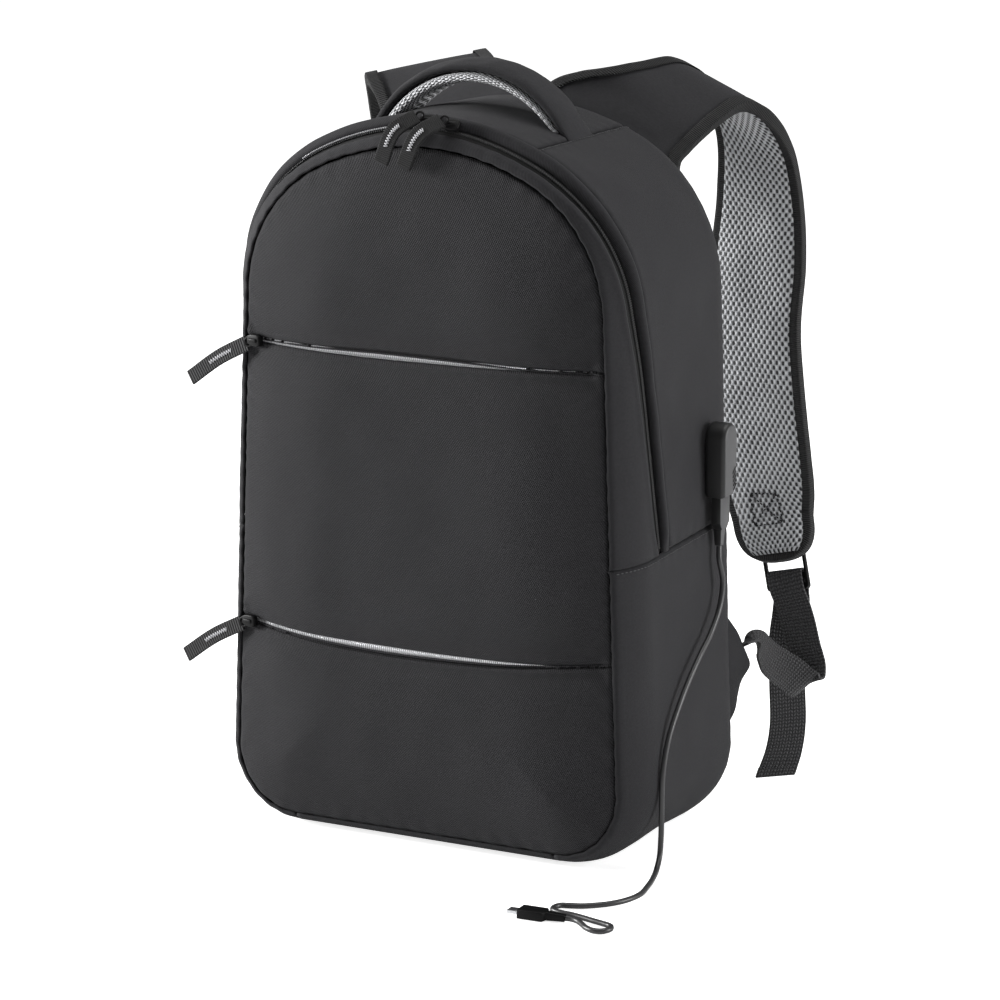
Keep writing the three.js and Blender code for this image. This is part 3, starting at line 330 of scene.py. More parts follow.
def seam_point(length):
    """x, z and outward direction on the front seam, a length along from the crown's middle."""
    run = length % (2 * half_round)
    if run > half_round:
        run -= 2 * half_round
    side = -1 if run < 0 else 1
    run = abs(run)
    if run <= crown_end:
        centre, radius, angle = (0, crown_centre), crown_radius, math.pi / 2 - run / crown_radius
    elif run <= shoulder_end:
        centre, radius = shoulder_centre, shoulder_radius
        angle = crown_angle - (run - crown_end) / shoulder_radius
    elif run <= side_end:
        share = (run - shoulder_end) / (side_end - shoulder_end)
        x = mix(side_top[0], side_base[0], share)
        return side * x, mix(side_top[1], side_base[1], share), side * math.cos(lean), math.sin(lean)
    elif run <= corner_end:
        centre, radius = corner_centre, corner_radius
        angle = lean - (run - side_end) / corner_radius
    else:
        return side * (corner_centre[0] - (run - corner_end)), seam_lift, 0, -1
    out_x, out_z = math.cos(angle), math.sin(angle)
    return side * (centre[0] + radius * out_x), centre[1] + radius * out_z, side * out_x, out_z


def seam_length_at(z):
    return shoulder_end + (side_top[1] - z) / math.cos(lean)


gusset_swell, swell_depth = 14.5, 32
back_round, back_step = 20, 4
swell_lengths = [0, crown_end, shoulder_end, side_end, corner_end, half_round]
swell_outs = [1.2, 1.12, 1, 1, seam_lift / gusset_swell, seam_lift / gusset_swell]
swell_depths = [0.45, 0.6, 1, 1, 0.78, 0.78]


def read_steps(keys, values, at):
    for left in range(len(keys) - 1):
        if at <= keys[left + 1]:
            share = (at - keys[left]) / (keys[left + 1] - keys[left])
            return mix(values[left], values[left + 1], clamp(share, 0, 1))
    return values[-1]


def swell(length, depth):
    """How far the gusset stands out from the front seam at a depth behind it."""
    run = abs(length) % (2 * half_round)
    run = min(run, 2 * half_round - run)
    full = gusset_swell * read_steps(swell_lengths, swell_outs, run)
    reach = swell_depth * read_steps(swell_lengths, swell_depths, run)
    rim = 2.4
    front = rim + (full - rim) * (1 - (1 - min(depth / reach, 1)) ** 2)
    share = clamp((depth - (bag_depth - back_round)) / back_round, 0, 1)
    return mix(front, back_step, 1 - math.sqrt(1 - share * share))


def gusset_point(length, depth, stand=0.0):
    x, z, out_x, out_z = seam_point(length)
    out = swell(length, depth) + stand
    return Vector((x + out_x * out, front_y + depth, z + out_z * out))


def ripple(place, size, seed=0):
    """Smooth noise from -1 to 1 with bumps of about that size."""
    return noise.noise(Vector((place[0] / size, place[1] / size, place[2] / size + seed))) * 1.6


def seam_roll(distance, depth=1.5, reach=2.6):
    """How far cloth turns in beside a seam."""
    return depth * max(0, 1 - distance / reach) ** 2


def pucker(distance, run, size=8.0, height=0.45, reach=14.0):
    """Small gathers that a row of stitches pulls into the cloth beside it."""
    fade = max(0, 1 - distance / reach) ** 1.5
    wave = noise.noise(Vector((run / size, 0.3, 7.1))) + 0.6 * math.sin(run / size * 4.4)
    return height * fade * wave


def lay_cloth(across, along, place, width, length, joined=False):
    """Grid of cloth over the surface that place(u, v) gives; its UV map is in metres."""
    made = bmesh.new()
    bmesh.ops.create_grid(made, x_segments=across, y_segments=along, size=0.5, calc_uvs=True)
    flat = made.loops.layers.uv.active or made.loops.layers.uv.new("cloth")
    spots = {}
    for vert in made.verts:
        spots[vert] = (vert.co.x + 0.5, vert.co.y + 0.5)
    for face in made.faces:
        for loop in face.loops:
            u, v = spots[loop.vert]
            loop[flat].uv = (u * width * MM, v * length * MM)
    for vert, (u, v) in spots.items():
        vert.co = place(u, v) * MM
    if joined:
        bmesh.ops.remove_doubles(made, verts=made.verts, dist=2e-6)
    return made


def map_cloth(made, spot):
    """Lays the UV map anew; spot gives a corner's place from its vertex and its old place."""
    flat = made.loops.layers.uv.active
    for face in made.faces:
        for loop in face.loops:
            loop[flat].uv = spot(loop.vert.co, loop[flat].uv)


def seen_from_front(at, _):
    return at.x, at.z


def face_out(made, centre):
    """Turns every face away from a point inside the bag."""
    made.normal_update()
    faces = [f for f in made.faces if (f.calc_center_median() - centre).dot(f.normal) < 0]
    bmesh.ops.reverse_faces(made, faces=faces)


def thicken(piece, wall):
    """Gives cloth its wall, towards the inside."""
    shell = piece.modifiers.new("wall", "SOLIDIFY")
    shell.thickness = wall * MM
    shell.offset = -1
    return piece


# Twill: fine slanted ribs, each of short floats of yarn. Its Shade is partly random yarn tone and partly
# painted shade that darkens the hollows between the ribs, in step with their height.
twill, told, given = group_tree(
    "twill",
    {"Coordinates": "Vector", "Rib": 0.0009},
    {"Height": "Float", "Shade": "Float"},
)
parts = add_node(twill, "SeparateXYZ")
feed(twill, parts, told["Coordinates"])
turns = maths(twill, "DIVIDE", 2 * math.pi, told["Rib"])
slant = maths(twill, "ADD", parts.outputs[0], maths(twill, "MULTIPLY", parts.outputs[1], 0.62))
ribs = maths(twill, "SINE", maths(twill, "MULTIPLY", slant, turns))
cross = maths(twill, "SUBTRACT", maths(twill, "MULTIPLY", parts.outputs[0], 0.5), parts.outputs[1])
floats = maths(twill, "SINE", maths(twill, "MULTIPLY", cross, turns))
yarns = add_node(twill, "TexNoise")
feed(twill, yarns, told["Coordinates"], None, 650.0, 3.0)
weave = maths(twill, "ADD", ribs, maths(twill, "MULTIPLY", floats, 0.4))
weave = maths(twill, "ADD", weave, maths(twill, "MULTIPLY", yarns.outputs["Fac"], 1.5))
twill.links.new(maths(twill, "MULTIPLY", weave, 0.3), given["Height"])
twill.links.new(maths(twill, "MULTIPLY_ADD", weave, 0.5, 0.62), given["Shade"])


def woven(name, colour, roughness=0.8, sheen=0.03, rib=0.0013, depth=0.0004):
    """Twill cloth with painted shade between its ribs and faint lighter and darker patches."""
    made, tree, surface = shader(name, colour, roughness, sheen=sheen, specular=0.25)
    flat = add_node(tree, "UVMap").outputs[0]
    spot = add_node(tree, "TexCoord").outputs["Object"]
    threads = place_group(tree, twill, Coordinates=flat, Rib=rib)
    worn = place_group(tree, grain, Coordinates=spot, Patch=14.0, Speck=700.0, Depth=0.22)
    shade = maths(tree, "MULTIPLY", threads["Shade"], worn["Shade"])
    tint(tree, surface, (colour, colour * 0.98, colour * 1.1), shade)
    bump(tree, surface, threads["Height"], depth)
    return made


front_cloth = woven("front_cloth", 0.016)
side_cloth = woven("side_cloth", 0.0165, rib=0.00065, depth=0.0001)
bag_middle = Vector((0, 0, 0.22))

# The base and the two lower sides are cut in one depth from seam to seam. The lower sides
# end under the side seam, and their edges turn in where they are sewn.
side_seam_height, side_seam_rise = 195, 7


def side_seam_at(depth):
    return seam_length_at(side_seam_height + side_seam_rise * depth / bag_depth)


def gusset_cloth(start, end, front, back, steps, shape, sign=1):
    """Cloth over a stretch of the gusset. start and end give a length for a depth, front and
    back a depth for a length, and shape how far the cloth stands out at a place."""
    across, along = steps

    def place(u, v):
        length, depth = mix(start(0), end(0), v), 0
        for _ in range(5):
            depth = mix(front(length), back(length), u)
            length = mix(start(depth), end(depth), v)
        sides = {
            "front": depth - front(length), "back": back(length) - depth,
            "start": length - start(depth), "end": end(depth) - length,
        }
        at = gusset_point(length, depth, shape(length, depth, sides))
        return Vector((sign * at.x, at.y, at.z))

    def spot(at, old):
        depth = at.y / MM - front_y
        return depth * MM, mix(start(depth), end(depth), old.y / MM) * MM

    made = lay_cloth(across, along, place, 1, 1)
    map_cloth(made, spot)
    face_out(made, bag_middle)
    return made


def soft_side(length, depth, sides, edges=("front", "back", "start", "end"), wave=1.0):
    """Stand of a side panel: turned in at its seams, gathered beside them, softly uneven."""
    at = gusset_point(length, depth)
    stand = wave * ripple(at, 70, 3) + 0.5 * wave * ripple(at, 28, 9)
    near = min(sides[edge] for edge in edges)
    stand *= clamp(near / 18, 0, 1)
    for edge in edges:
        run = depth if edge in ("start", "end") else length
        stand -= seam_roll(sides[edge]) - pucker(sides[edge], run)
    return stand


for side, sign in (("left", -1), ("right", 1)):
    piece = gusset_cloth(
        side_seam_at, lambda depth: corner_end,
        lambda length: 0, lambda length: bag_depth, (60, 84),
        lambda length, depth, sides: soft_side(length, depth, sides, ("front", "back", "start")),
        sign,
    )
    thicken(
        finish_piece(piece, f"lower_side_cloth_{side}", side_cloth, "dark_cloth", f"lower_side_{side}"),
        1.6,
    )

base = gusset_cloth(
    lambda depth: corner_end, lambda depth: 2 * half_round - corner_end,
    lambda length: 0, lambda length: bag_depth, (48, 60),
    lambda length, depth, sides: -seam_roll(sides["front"]) - seam_roll(sides["back"]),
)
thicken(finish_piece(base, "base_cloth", side_cloth, "dark_cloth", "base_panel"), 1.6)

# The main zip opens the bag over its top, from one side seam to the other. Ahead of it the
# front band is turned in, and behind it a rolled flap of the same cloth covers the coil.
zip_depth, zip_half, flap_width = 46, 3, 7
zip_downs = [0, 0.24, 0.33, 0.5, 0.64, 0.85, 1]
zip_deeps = [0.174, 0.187, 0.228, 0.391, 0.587, 0.826, 1]
zip_end = side_seam_at(zip_depth)


def smooth_steps(keys, values, at):
    """Reads a short table along a smooth curve."""
    last = len(keys) - 1
    at = clamp(at, keys[0], keys[last])
    left = 0
    while left < last - 1 and at > keys[left + 1]:
        left += 1

    def slope(place):
        a, b = max(place - 1, 0), min(place + 1, last)
        return (values[b] - values[a]) / (keys[b] - keys[a])

    span = keys[left + 1] - keys[left]
    u = (at - keys[left]) / span
    bend = span * (slope(left) * u * (1 - u) ** 2 - slope(left + 1) * u * u * (1 - u))
    return mix(values[left], values[left + 1], u * u * (3 - 2 * u)) + bend


def main_zip_at(length):
    return zip_depth * smooth_steps(zip_downs, zip_deeps, abs(length) / zip_end)


def zip_open(length):
    """How far the main zip's channel gapes at a place: little over the top, wide at the sides."""
    run = abs(length) / zip_end
    gape = clamp((run - 0.35) / 0.35, 0, 1)
    return gape * clamp((zip_end - abs(length)) / 22, 0, 1)


def band_edge(length):
    return main_zip_at(length) - zip_half + 1 - 2.6 * zip_open(length)


def flap_edge(length):
    return main_zip_at(length) + zip_half - 1.4 + 1.2 * zip_open(length)


def arch_start(depth):
    return -side_seam_at(depth)


def band_shape(length, depth, sides):
    at = gusset_point(length, depth)
    stand = 0.7 * ripple(at, 40, 5) * clamp(min(sides["front"], sides["back"]) / 10, 0, 1)
    stand -= seam_roll(sides["front"]) - pucker(sides["front"], length)
    return stand - seam_roll(sides["back"], 3.2, 4.5) + 0.8 * seam_roll(abs(sides["back"] - 5), 1, 4)


def flap_shape(length, depth, sides):
    lip = 2.2 * math.sin(math.pi * clamp(sides["front"] / 7, 0, 1)) ** 0.8
    tuck = seam_roll(sides["front"], 2.6, 1.8)
    end = clamp(min(sides["start"], sides["end"]) / 12, 0, 1)
    wave = 0.5 * noise.noise(Vector((length / 23, 4, 1)))
    return (lip + wave) * end - tuck - seam_roll(sides["back"], 1.6, 2) + 0.2


band = gusset_cloth(
    arch_start, side_seam_at, lambda length: 0, band_edge, (16, 330), band_shape,
)
thicken(finish_piece(band, "front_band_cloth", side_cloth, "dark_cloth", "front_band"), 1.4)
flap = gusset_cloth(
    arch_start, side_seam_at, flap_edge,
    lambda length: main_zip_at(length) + zip_half + flap_width, (9, 330), flap_shape,
)
thicken(finish_piece(flap, "zip_flap_cloth", side_cloth, "dark_cloth", "zip_flap"), 1.2)


# Ribbed tape for zips, pulls and the straps' binding, with fine ribs across its length. Its Shade is
# painted shade that darkens the hollows between the ribs, in step with their height.
ribbed, told, given = group_tree(
    "ribbed",
    {"Coordinates": "Vector", "Rib": 0.0016, "Twill": 0.5},
    {"Height": "Float", "Shade": "Float"},
)
parts = add_node(ribbed, "SeparateXYZ")
feed(ribbed, parts, told["Coordinates"])
turns = maths(ribbed, "DIVIDE", 2 * math.pi, told["Rib"])
zigzag = maths(ribbed, "PINGPONG", parts.outputs[0], 0.0042)
slant = maths(ribbed, "ADD", parts.outputs[1], maths(ribbed, "MULTIPLY", zigzag, told["Twill"]))
ribs = maths(ribbed, "SINE", maths(ribbed, "MULTIPLY", slant, turns))
ribbed.links.new(maths(ribbed, "MULTIPLY_ADD", ribs, 0.5, 0.5), given["Height"])
ribbed.links.new(maths(ribbed, "MULTIPLY_ADD", ribs, 0.3, 0.85), given["Shade"])


def tape_cloth(name, colour, rib=0.0016, slant=0.5, depth=0.00025, roughness=0.7, metallic=0.0):
    made, tree, surface = shader(name, colour, roughness, 0.03, metallic, specular=0.3)
    flat = add_node(tree, "UVMap").outputs[0]
    spot = add_node(tree, "TexCoord").outputs["Object"]
    ribs = place_group(tree, ribbed, Coordinates=flat, Rib=rib, Twill=slant)
    worn = place_group(tree, grain, Coordinates=spot, Patch=30.0, Speck=900.0, Depth=0.3)
    shade = maths(tree, "MULTIPLY", ribs["Shade"], worn["Shade"])
    tint(tree, surface, (colour, colour, colour * 1.03), shade)
    bump(tree, surface, ribs["Height"], depth)
    return made


# The main zip is a black tape under the slit between band and flap, with a coil along its middle. The coil
# is painted near-black along its whole run, a painted shade for where the flap hides it, and a row of
# silver teeth, the coil's own colour, lies raised over it on the left half of the crown.
# Zip tape near-black, darker than the cloth: partly the tape's own colour and partly painted shade in the
# main zip's slit and behind the pocket zips' lips.
zip_tape_and_shade = tape_cloth("zip_tape_and_shade", 0.004, 0.001, 0.0, 0.0001)
# Near-black coil: painted shade, standing for the silver coil where the flap shades it.
shaded_coil = moulded("shaded_coil", 0.02, 0.4)
silver_film = moulded("silver_film", 0.36, 0.35, coat=0.3)
tape = gusset_cloth(
    arch_start, side_seam_at, lambda length: main_zip_at(length) - zip_half - 2,
    lambda length: main_zip_at(length) + zip_half + 2, (4, 330),
    lambda length, depth, sides: -2.9,
)
thicken(finish_piece(tape, "main_zip_tape", zip_tape_and_shade, "zip_coil", "main_zip"), 0.8)


def add_bead(made, at, across, along, out, sizes):
    """Adds one small smooth bead; sizes are half its width, length and height."""
    seat = Matrix((across, along, out)).transposed().to_4x4()
    seat.translation = at * MM
    bead = Matrix.Diagonal((*(size * MM for size in sizes), 1))
    bmesh.ops.create_icosphere(made, subdivisions=1, radius=1, matrix=seat @ bead)


def add_stitch(made, a, b, out, half):
    """Adds one stitch of thread from a to b."""
    along = (b - a).normalized()
    across = along.cross(out).normalized()
    sizes = (half, (b - a).length * 0.54, half * 0.8)
    add_bead(made, (a + b) / 2, across, along, across.cross(along), sizes)


def line_knots(points, outs):
    """Stations along a line: each point with its across and out directions."""
    last = len(points) - 1
    knots = []
    for k, at in enumerate(points):
        along = (points[min(k + 1, last)] - points[max(k - 1, 0)]).normalized()
        across = along.cross(outs[k]).normalized()
        knots.append((at, across, across.cross(along)))
    return knots


def add_row(made, knots, pitch, sizes, shift=0.0, turn=0.0, start=0.0):
    """Adds a row of beads a pitch apart, shifted across the line and turned on it."""
    travelled, next_at = 0.0, start * pitch
    for (here, across, out), (there, _, _) in zip(knots, knots[1:]):
        step = (there - here).length
        along = out.cross(across)
        aside = across * math.cos(turn) + along * math.sin(turn)
        ahead = along * math.cos(turn) - across * math.sin(turn)
        while next_at < travelled + step:
            at = here.lerp(there, (next_at - travelled) / step) + across * shift
            add_bead(made, at, aside, ahead, out, sizes)
            next_at += pitch
        travelled += step


def zip_coil(name, knots, pitch, half, height, material):
    """Two rows of slanted coil turns that meet in the middle of a zip."""
    made = bmesh.new()
    for side in (-1, 1):
        sizes = (half * 0.68, pitch * 0.38, height)
        add_row(made, knots, pitch, sizes, side * half * 0.42, side * 0.35, 0.25 + side * 0.25)
    return finish_piece(made, name, material, "zip_coil")


def main_zip_knots(count, first, last, stand):
    lengths = [mix(first, last, k / count) for k in range(count + 1)]
    points = [gusset_point(length, main_zip_at(length), stand) for length in lengths]
    outs = [Vector((out_x, 0, out_z)) for _, _, out_x, out_z in map(seam_point, lengths)]
    return line_knots(points, outs)


zip_coil("main_zip_coil", main_zip_knots(300, 3 - zip_end, zip_end - 3, -2.6), 1.5, 1.6, 0.8, shaded_coil)
zip_coil("main_zip_teeth", main_zip_knots(80, -86, -4, -1.2), 1.3, 1.5, 0.7, silver_film)

# The top panel under the handle and the two upper sides close the bag between the flap and
# the back. The seams between them run front to back at the handle's feet.
top_seam = 65


def behind_flap(length):
    return main_zip_at(length) + zip_half + flap_width


top = gusset_cloth(
    lambda depth: -top_seam, lambda depth: top_seam, behind_flap,
    lambda length: bag_depth, (54, 60), soft_side,
)
thicken(finish_piece(top, "top_cloth", side_cloth, "dark_cloth", "top_panel"), 1.6)
for side, sign in (("left", -1), ("right", 1)):
    piece = gusset_cloth(
        lambda depth: top_seam, side_seam_at, behind_flap,
        lambda length: bag_depth, (48, 130), soft_side, sign,
    )
    thicken(
        finish_piece(piece, f"side_cloth_{side}", side_cloth, "dark_cloth", f"side_panel_{side}"), 1.6
    )

# The seams beside the top panel and over the lower sides are stitched down with a row of
# strong thread that shows as short grey dashes.
seam_thread = moulded("seam_thread", 0.06, 0.6)
stitch_pitch, stitch_sizes = 3.1, (0.32, 1.15, 0.3)


def seam_stitches(name, spots, sign):
    """Row of stitches over (length, depth, stand) places on the gusset."""
    points, outs = [], []
    for length, depth, stand in spots:
        at = gusset_point(length, depth, stand)
        _, _, out_x, out_z = seam_point(length)
        points.append(Vector((sign * at.x, at.y, at.z)))
        outs.append(Vector((sign * out_x, 0, out_z)))
    made = bmesh.new()
    add_row(made, line_knots(points, outs), stitch_pitch, stitch_sizes)
    return finish_piece(made, name, seam_thread, "bag_cloth")


for side, sign in (("left", -1), ("right", 1)):
    spots = []
    for k in range(41):
        length = top_seam + 2.6
        front = behind_flap(length)
        depth = mix(front + 1, bag_depth - 3, k / 40)
        sides = {
            "front": depth - front, "back": bag_depth - depth, "start": 2.6,
            "end": side_seam_at(depth) - length,
        }
        spots.append((length, depth, soft_side(length, depth, sides) + 0.35))
    seam_stitches(f"top_seam_stitches_{side}", spots, sign)
    spots = []
    for k in range(61):
        depth = mix(3, bag_depth - 3, k / 60)
        length = side_seam_at(depth) + 2.8
        sides = {"front": depth, "back": bag_depth - depth, "start": 2.8}
        stand = soft_side(length, depth, sides, ("front", "back", "start"))
        spots.append((length, depth, stand + 0.35))
    seam_stitches(f"side_seam_stitches_{side}", spots, sign)

# The front is one stuffed panel cut in three by two pocket zips. Cloth lips fold over each
# silver coil, and the panel dips along them.
panel_bulge, panel_roll = 15, 75
pocket_heights = {"upper": 316, "lower": 135}
pocket_sags = {"upper": 0, "lower": 6}
pocket_dip, pocket_dip_span = 3, 11
seam_arcs = [
    ((0, crown_centre), crown_radius, crown_angle, math.pi / 2),
    (shoulder_centre, shoulder_radius, lean, crown_angle),
    (corner_centre, corner_radius, -math.pi / 2, lean),
]


def seam_distance(x, z):
    """Distance of a point of the front panel from the front seam round it."""
    x = abs(x)
    side = (side_top[0] - x) * math.cos(lean) + (side_top[1] - z) * math.sin(lean)
    best = min(z - seam_lift, side)
    for (centre_x, centre_z), radius, low, high in seam_arcs:
        if low <= math.atan2(z - centre_z, x - centre_x) <= high:
            best = min(best, radius - math.hypot(x - centre_x, z - centre_z))
    return max(best, 0)


def pocket_zip_height(zip_name, x):
    end = seam_point(seam_length_at(pocket_heights[zip_name]))[0]
    return pocket_heights[zip_name] - pocket_sags[zip_name] * (1 - clamp(x / end, -1, 1) ** 2)


def panel_stand(x, z, rim):
    inward = clamp(rim / panel_roll, 0, 1)
    bulge = panel_bulge * (1 - (1 - inward) ** 2)
    dips = 0
    for zip_name in pocket_heights:
        away = z - pocket_zip_height(zip_name, x)
        dips += pocket_dip * math.exp(-((away / pocket_dip_span) ** 2))
    return bulge - min(bulge, dips)


def panel_place(x, z, lip):
    """Point on the front panel; lip is the distance to the pocket zip's folded edge."""
    rim = seam_distance(x, z)
    at = (x, z, 0)
    wave = 1.1 * ripple(at, 85, 2) + 0.45 * ripple(at, 33, 6)
    stand = panel_stand(x, z, rim) + wave * clamp(rim / 25, 0, 1) * clamp(lip / 14, 0.15, 1)
    run = math.atan2(z - 220, x) * 200
    stand -= seam_roll(rim, 1.8, 3) - pucker(rim, run, 9, 0.5, 16)
    stand += 0.9 * seam_roll(abs(lip - 3), 1, 3.5) - seam_roll(lip, 1.3, 1.6)
    stand += pucker(lip, x, 7, 0.3, 10) * clamp(lip / 5, 0, 1)
    return Vector((x, front_y - stand, z))


def zip_line(zip_name, share, above):
    end = seam_point(seam_length_at(pocket_heights[zip_name] + above))[0]
    x = mix(-end, end, share)
    return x, pocket_zip_height(zip_name, x) + above


gape_shares = [0, 0.08, 0.22, 0.4, 0.56, 0.72, 0.86, 1]
gape_halves = [1.5, 1.5, 1.8, 2.4, 2.1, 1.5, 0.7, 0.3]


def zip_gap(share):
    """Half the opening between the cloth lips, widest before its middle."""
    return smooth_steps(gape_shares, gape_halves, share)


def end_panel(zip_name, sign):
    start = seam_length_at(pocket_heights[zip_name])
    low, high = (-start, start) if sign > 0 else (2 * half_round - start, start)

    def place(u, v):
        above = sign * zip_gap(u)
        rim_x, rim_z, _, _ = seam_point(mix(low, high, u))
        line_x, line_z = zip_line(zip_name, u, above)
        pull = 1 - (1 - v) ** 1.4
        x, z = mix(rim_x, line_x, pull), mix(rim_z, line_z, pull)
        return panel_place(x, z, abs(z - line_z))

    made = lay_cloth(150, 80, place, 250, 130)
    map_cloth(made, seen_from_front)
    face_out(made, bag_middle)
    return made


def middle_panel():
    def place(u, v):
        low = zip_line("lower", u, zip_gap(u))
        high = zip_line("upper", u, -zip_gap(u))
        z = mix(low[1], high[1], mix(v, 0.5 - 0.5 * math.cos(v * math.pi), 0.8))
        side = 2 * u - 1
        x = side * seam_point(seam_length_at(z))[0]
        return panel_place(x, z, min(abs(z - low[1]), abs(z - high[1])))

    made = lay_cloth(120, 110, place, 250, 180)
    map_cloth(made, seen_from_front)
    face_out(made, bag_middle)
    return made


for name, made in (
    ("front_upper_cloth", end_panel("upper", 1)),
    ("front_middle_cloth", middle_panel()),
    ("front_lower_cloth", end_panel("lower", -1)),
):
    node = name.replace("front_", "front_panel_").replace("_cloth", "")
    thicken(finish_piece(made, name, front_cloth, "bag_cloth", node), 1.8)

# Each pocket zip is a near-black tape behind the lips and a crowned silver coil between them; the tape's
# near-black is partly its own colour and partly painted shade behind the lips.
silver_teeth = tape_cloth("silver_teeth", 0.5, 0.0014, 0.0, 0.0008, 0.3, 0.4)
tape_half, tape_depth, coil_depth = 4, 2.1, 1.9
for zip_name in pocket_heights:
    def tape_place(u, v, zip_name=zip_name):
        x, z = zip_line(zip_name, u, mix(-tape_half, tape_half, v))
        return Vector((x, front_y - panel_stand(x, z, seam_distance(x, z)) + tape_depth, z))

    tape = lay_cloth(60, 3, tape_place, 250, 2 * tape_half)
    face_out(tape, bag_middle)
    finish_piece(tape, f"pocket_zip_tape_{zip_name}", zip_tape_and_shade, "zip_coil", f"pocket_zip_{zip_name}")

    def coil_place(u, v, zip_name=zip_name):
        aside, share = 2 * u - 1, mix(0.04, 0.98, v)
        x, z = zip_line(zip_name, share, aside * (zip_gap(share) + 0.4) + 0.25)
        crown = (0.75 + 0.4 * zip_gap(share)) * (1 - aside**2)
        return Vector((x, front_y - panel_stand(x, z, seam_distance(x, z)) + coil_depth - crown, z))

    coil = lay_cloth(10, 500, coil_place, 5, 245)
    face_out(coil, bag_middle)
    finish_piece(coil, f"pocket_coil_{zip_name}", silver_teeth, "zip_coil")

# The back is a flat wall of side cloth with a crowned pad of spacer mesh sewn on it.
pad_inset, pad_thickness, pad_crown = 20, 8, 4
spine_low, spine_high = seam_lift + seam_height * 0.3, seam_lift + seam_height * 0.68

# Spacer mesh: silver-grey knit with rows of upright oval holes, each row half a step on. The lattice is 1
# in the middle of a hole and -1 where the threads meet. Its Shade is painted shade: the threads are lighter
# on their crowns and darker down towards the holes.
spacer, told, given = group_tree(
    "spacer",
    {"Coordinates": "Vector", "Step": 0.0041, "Row": 0.0033, "Edge": 0.3},
    {"Height": "Float", "Hole": "Float", "Shade": "Float"},
)
fuzz = add_node(spacer, "TexNoise")
feed(spacer, fuzz, told["Coordinates"], None, 1400.0, 2.0)
parts = add_node(spacer, "SeparateXYZ")
feed(spacer, parts, told["Coordinates"])
turn_x = maths(spacer, "DIVIDE", 2 * math.pi, told["Step"])
turn_y = maths(spacer, "DIVIDE", math.pi, told["Row"])
lattice = maths(
    spacer, "MULTIPLY",
    maths(spacer, "COSINE", maths(spacer, "MULTIPLY", parts.outputs[0], turn_x)),
    maths(spacer, "COSINE", maths(spacer, "MULTIPLY", parts.outputs[1], turn_y)),
)
lattice = maths(spacer, "ADD", lattice, maths(spacer, "MULTIPLY_ADD", fuzz.outputs["Fac"], 0.4, -0.2))
hole = add_node(spacer, "MapRange", interpolation_type="SMOOTHSTEP")
feed(spacer, hole, lattice, maths(spacer, "SUBTRACT", told["Edge"], 0.12), told["Edge"])
round_thread = add_node(spacer, "MapRange", interpolation_type="SMOOTHSTEP")
feed(spacer, round_thread, lattice, -0.9, told["Edge"])
spacer.links.new(hole.outputs[0], given["Hole"])
spacer.links.new(maths(spacer, "SUBTRACT", 1.0, round_thread.outputs[0]), given["Height"])
# Painted shade on the threads' round form, in step with their height.
spacer.links.new(maths(spacer, "MULTIPLY_ADD", round_thread.outputs[0], -0.5, 1.2), given["Shade"])


def knit_mesh(name, thread, hole=(0.012, 0.012, 0.014)):
    made, tree, surface = shader(name, thread, 0.6, sheen=0.2)
    flat = add_node(tree, "UVMap").outputs[0]
    knit = place_group(tree, spacer, Coordinates=flat)
    spot = add_node(tree, "TexCoord").outputs["Object"]
    worn = place_group(tree, grain, Coordinates=spot, Patch=30.0, Speck=1600.0, Depth=0.5)
    blend = add_node(tree, "Mix", data_type="RGBA")
    tree.links.new(knit["Hole"], blend.inputs[0])
    blend.inputs[6].default_value = (*thread, 1)
    blend.inputs[7].default_value = (*hole, 1)
    shaded = add_node(tree, "VectorMath", operation="SCALE")
    tree.links.new(blend.outputs[2], shaded.inputs[0])
    tree.links.new(maths(tree, "MULTIPLY", worn["Shade"], knit["Shade"]), shaded.inputs["Scale"])
    tree.links.new(shaded.outputs[0], surface.inputs["Base Color"])
    bump(tree, surface, knit["Height"], 0.0012)
    return made


silver_mesh = knit_mesh("silver_mesh", (0.52, 0.53, 0.55))
# The spacer mesh painted near-white for the handle's lining: painted light, since the same mesh is
# silver-grey elsewhere.
painted_light_mesh = knit_mesh("painted_light_mesh", (0.86, 0.87, 0.9))


def back_place(rim_stand, y, full):
    def place(u, v):
        x, z, out_x, out_z = seam_point(u * 2 * half_round)
        x, z = x + out_x * rim_stand, z + out_z * rim_stand
        rise = full(1 - v)
        return Vector((mix(x, 0, v), back_y + y + rise, mix(z, clamp(z, spine_low, spine_high), v)))
    return place


def pad_rise(rim):
    share = 1 - rim
    return (pad_thickness - 1) * min(1, share / 0.1) ** 0.5 + pad_crown * (1 - rim**2)


back_wall = lay_cloth(240, 24, back_place(2.4, 0, lambda rim: 0), 900, 130, True)
face_out(back_wall, bag_middle)
back_wall = finish_piece(back_wall, "back_cloth", side_cloth, "dark_cloth", "back_panel")
thicken(back_wall, 2.4)
back_pad = lay_cloth(260, 40, back_place(-pad_inset, 0.6, pad_rise), 900, 130, True)
map_cloth(back_pad, seen_from_front)
face_out(back_pad, bag_middle)
back_pad = finish_piece(back_pad, "back_pad_mesh", silver_mesh, "spacer_mesh", "back_pad")

# The handle is a padded arch of side cloth over the crown, sewn into the seams beside the top panel. Its
# underside is lined with the spacer mesh, painted near-white there: painted light on a lining that lies in
# the handle's shade.
handle_rise, handle_width, handle_back = 43, 32, 78
handle_cloth, handle_crown, handle_seat = 6, 1.4, 4
lining_top, lining_puff = 7.2, 6.5
foot = gusset_point(top_seam, handle_back)
handle_radius = (foot.x**2 + handle_rise**2) / (2 * handle_rise)
handle_centre = foot.z + handle_rise - handle_radius


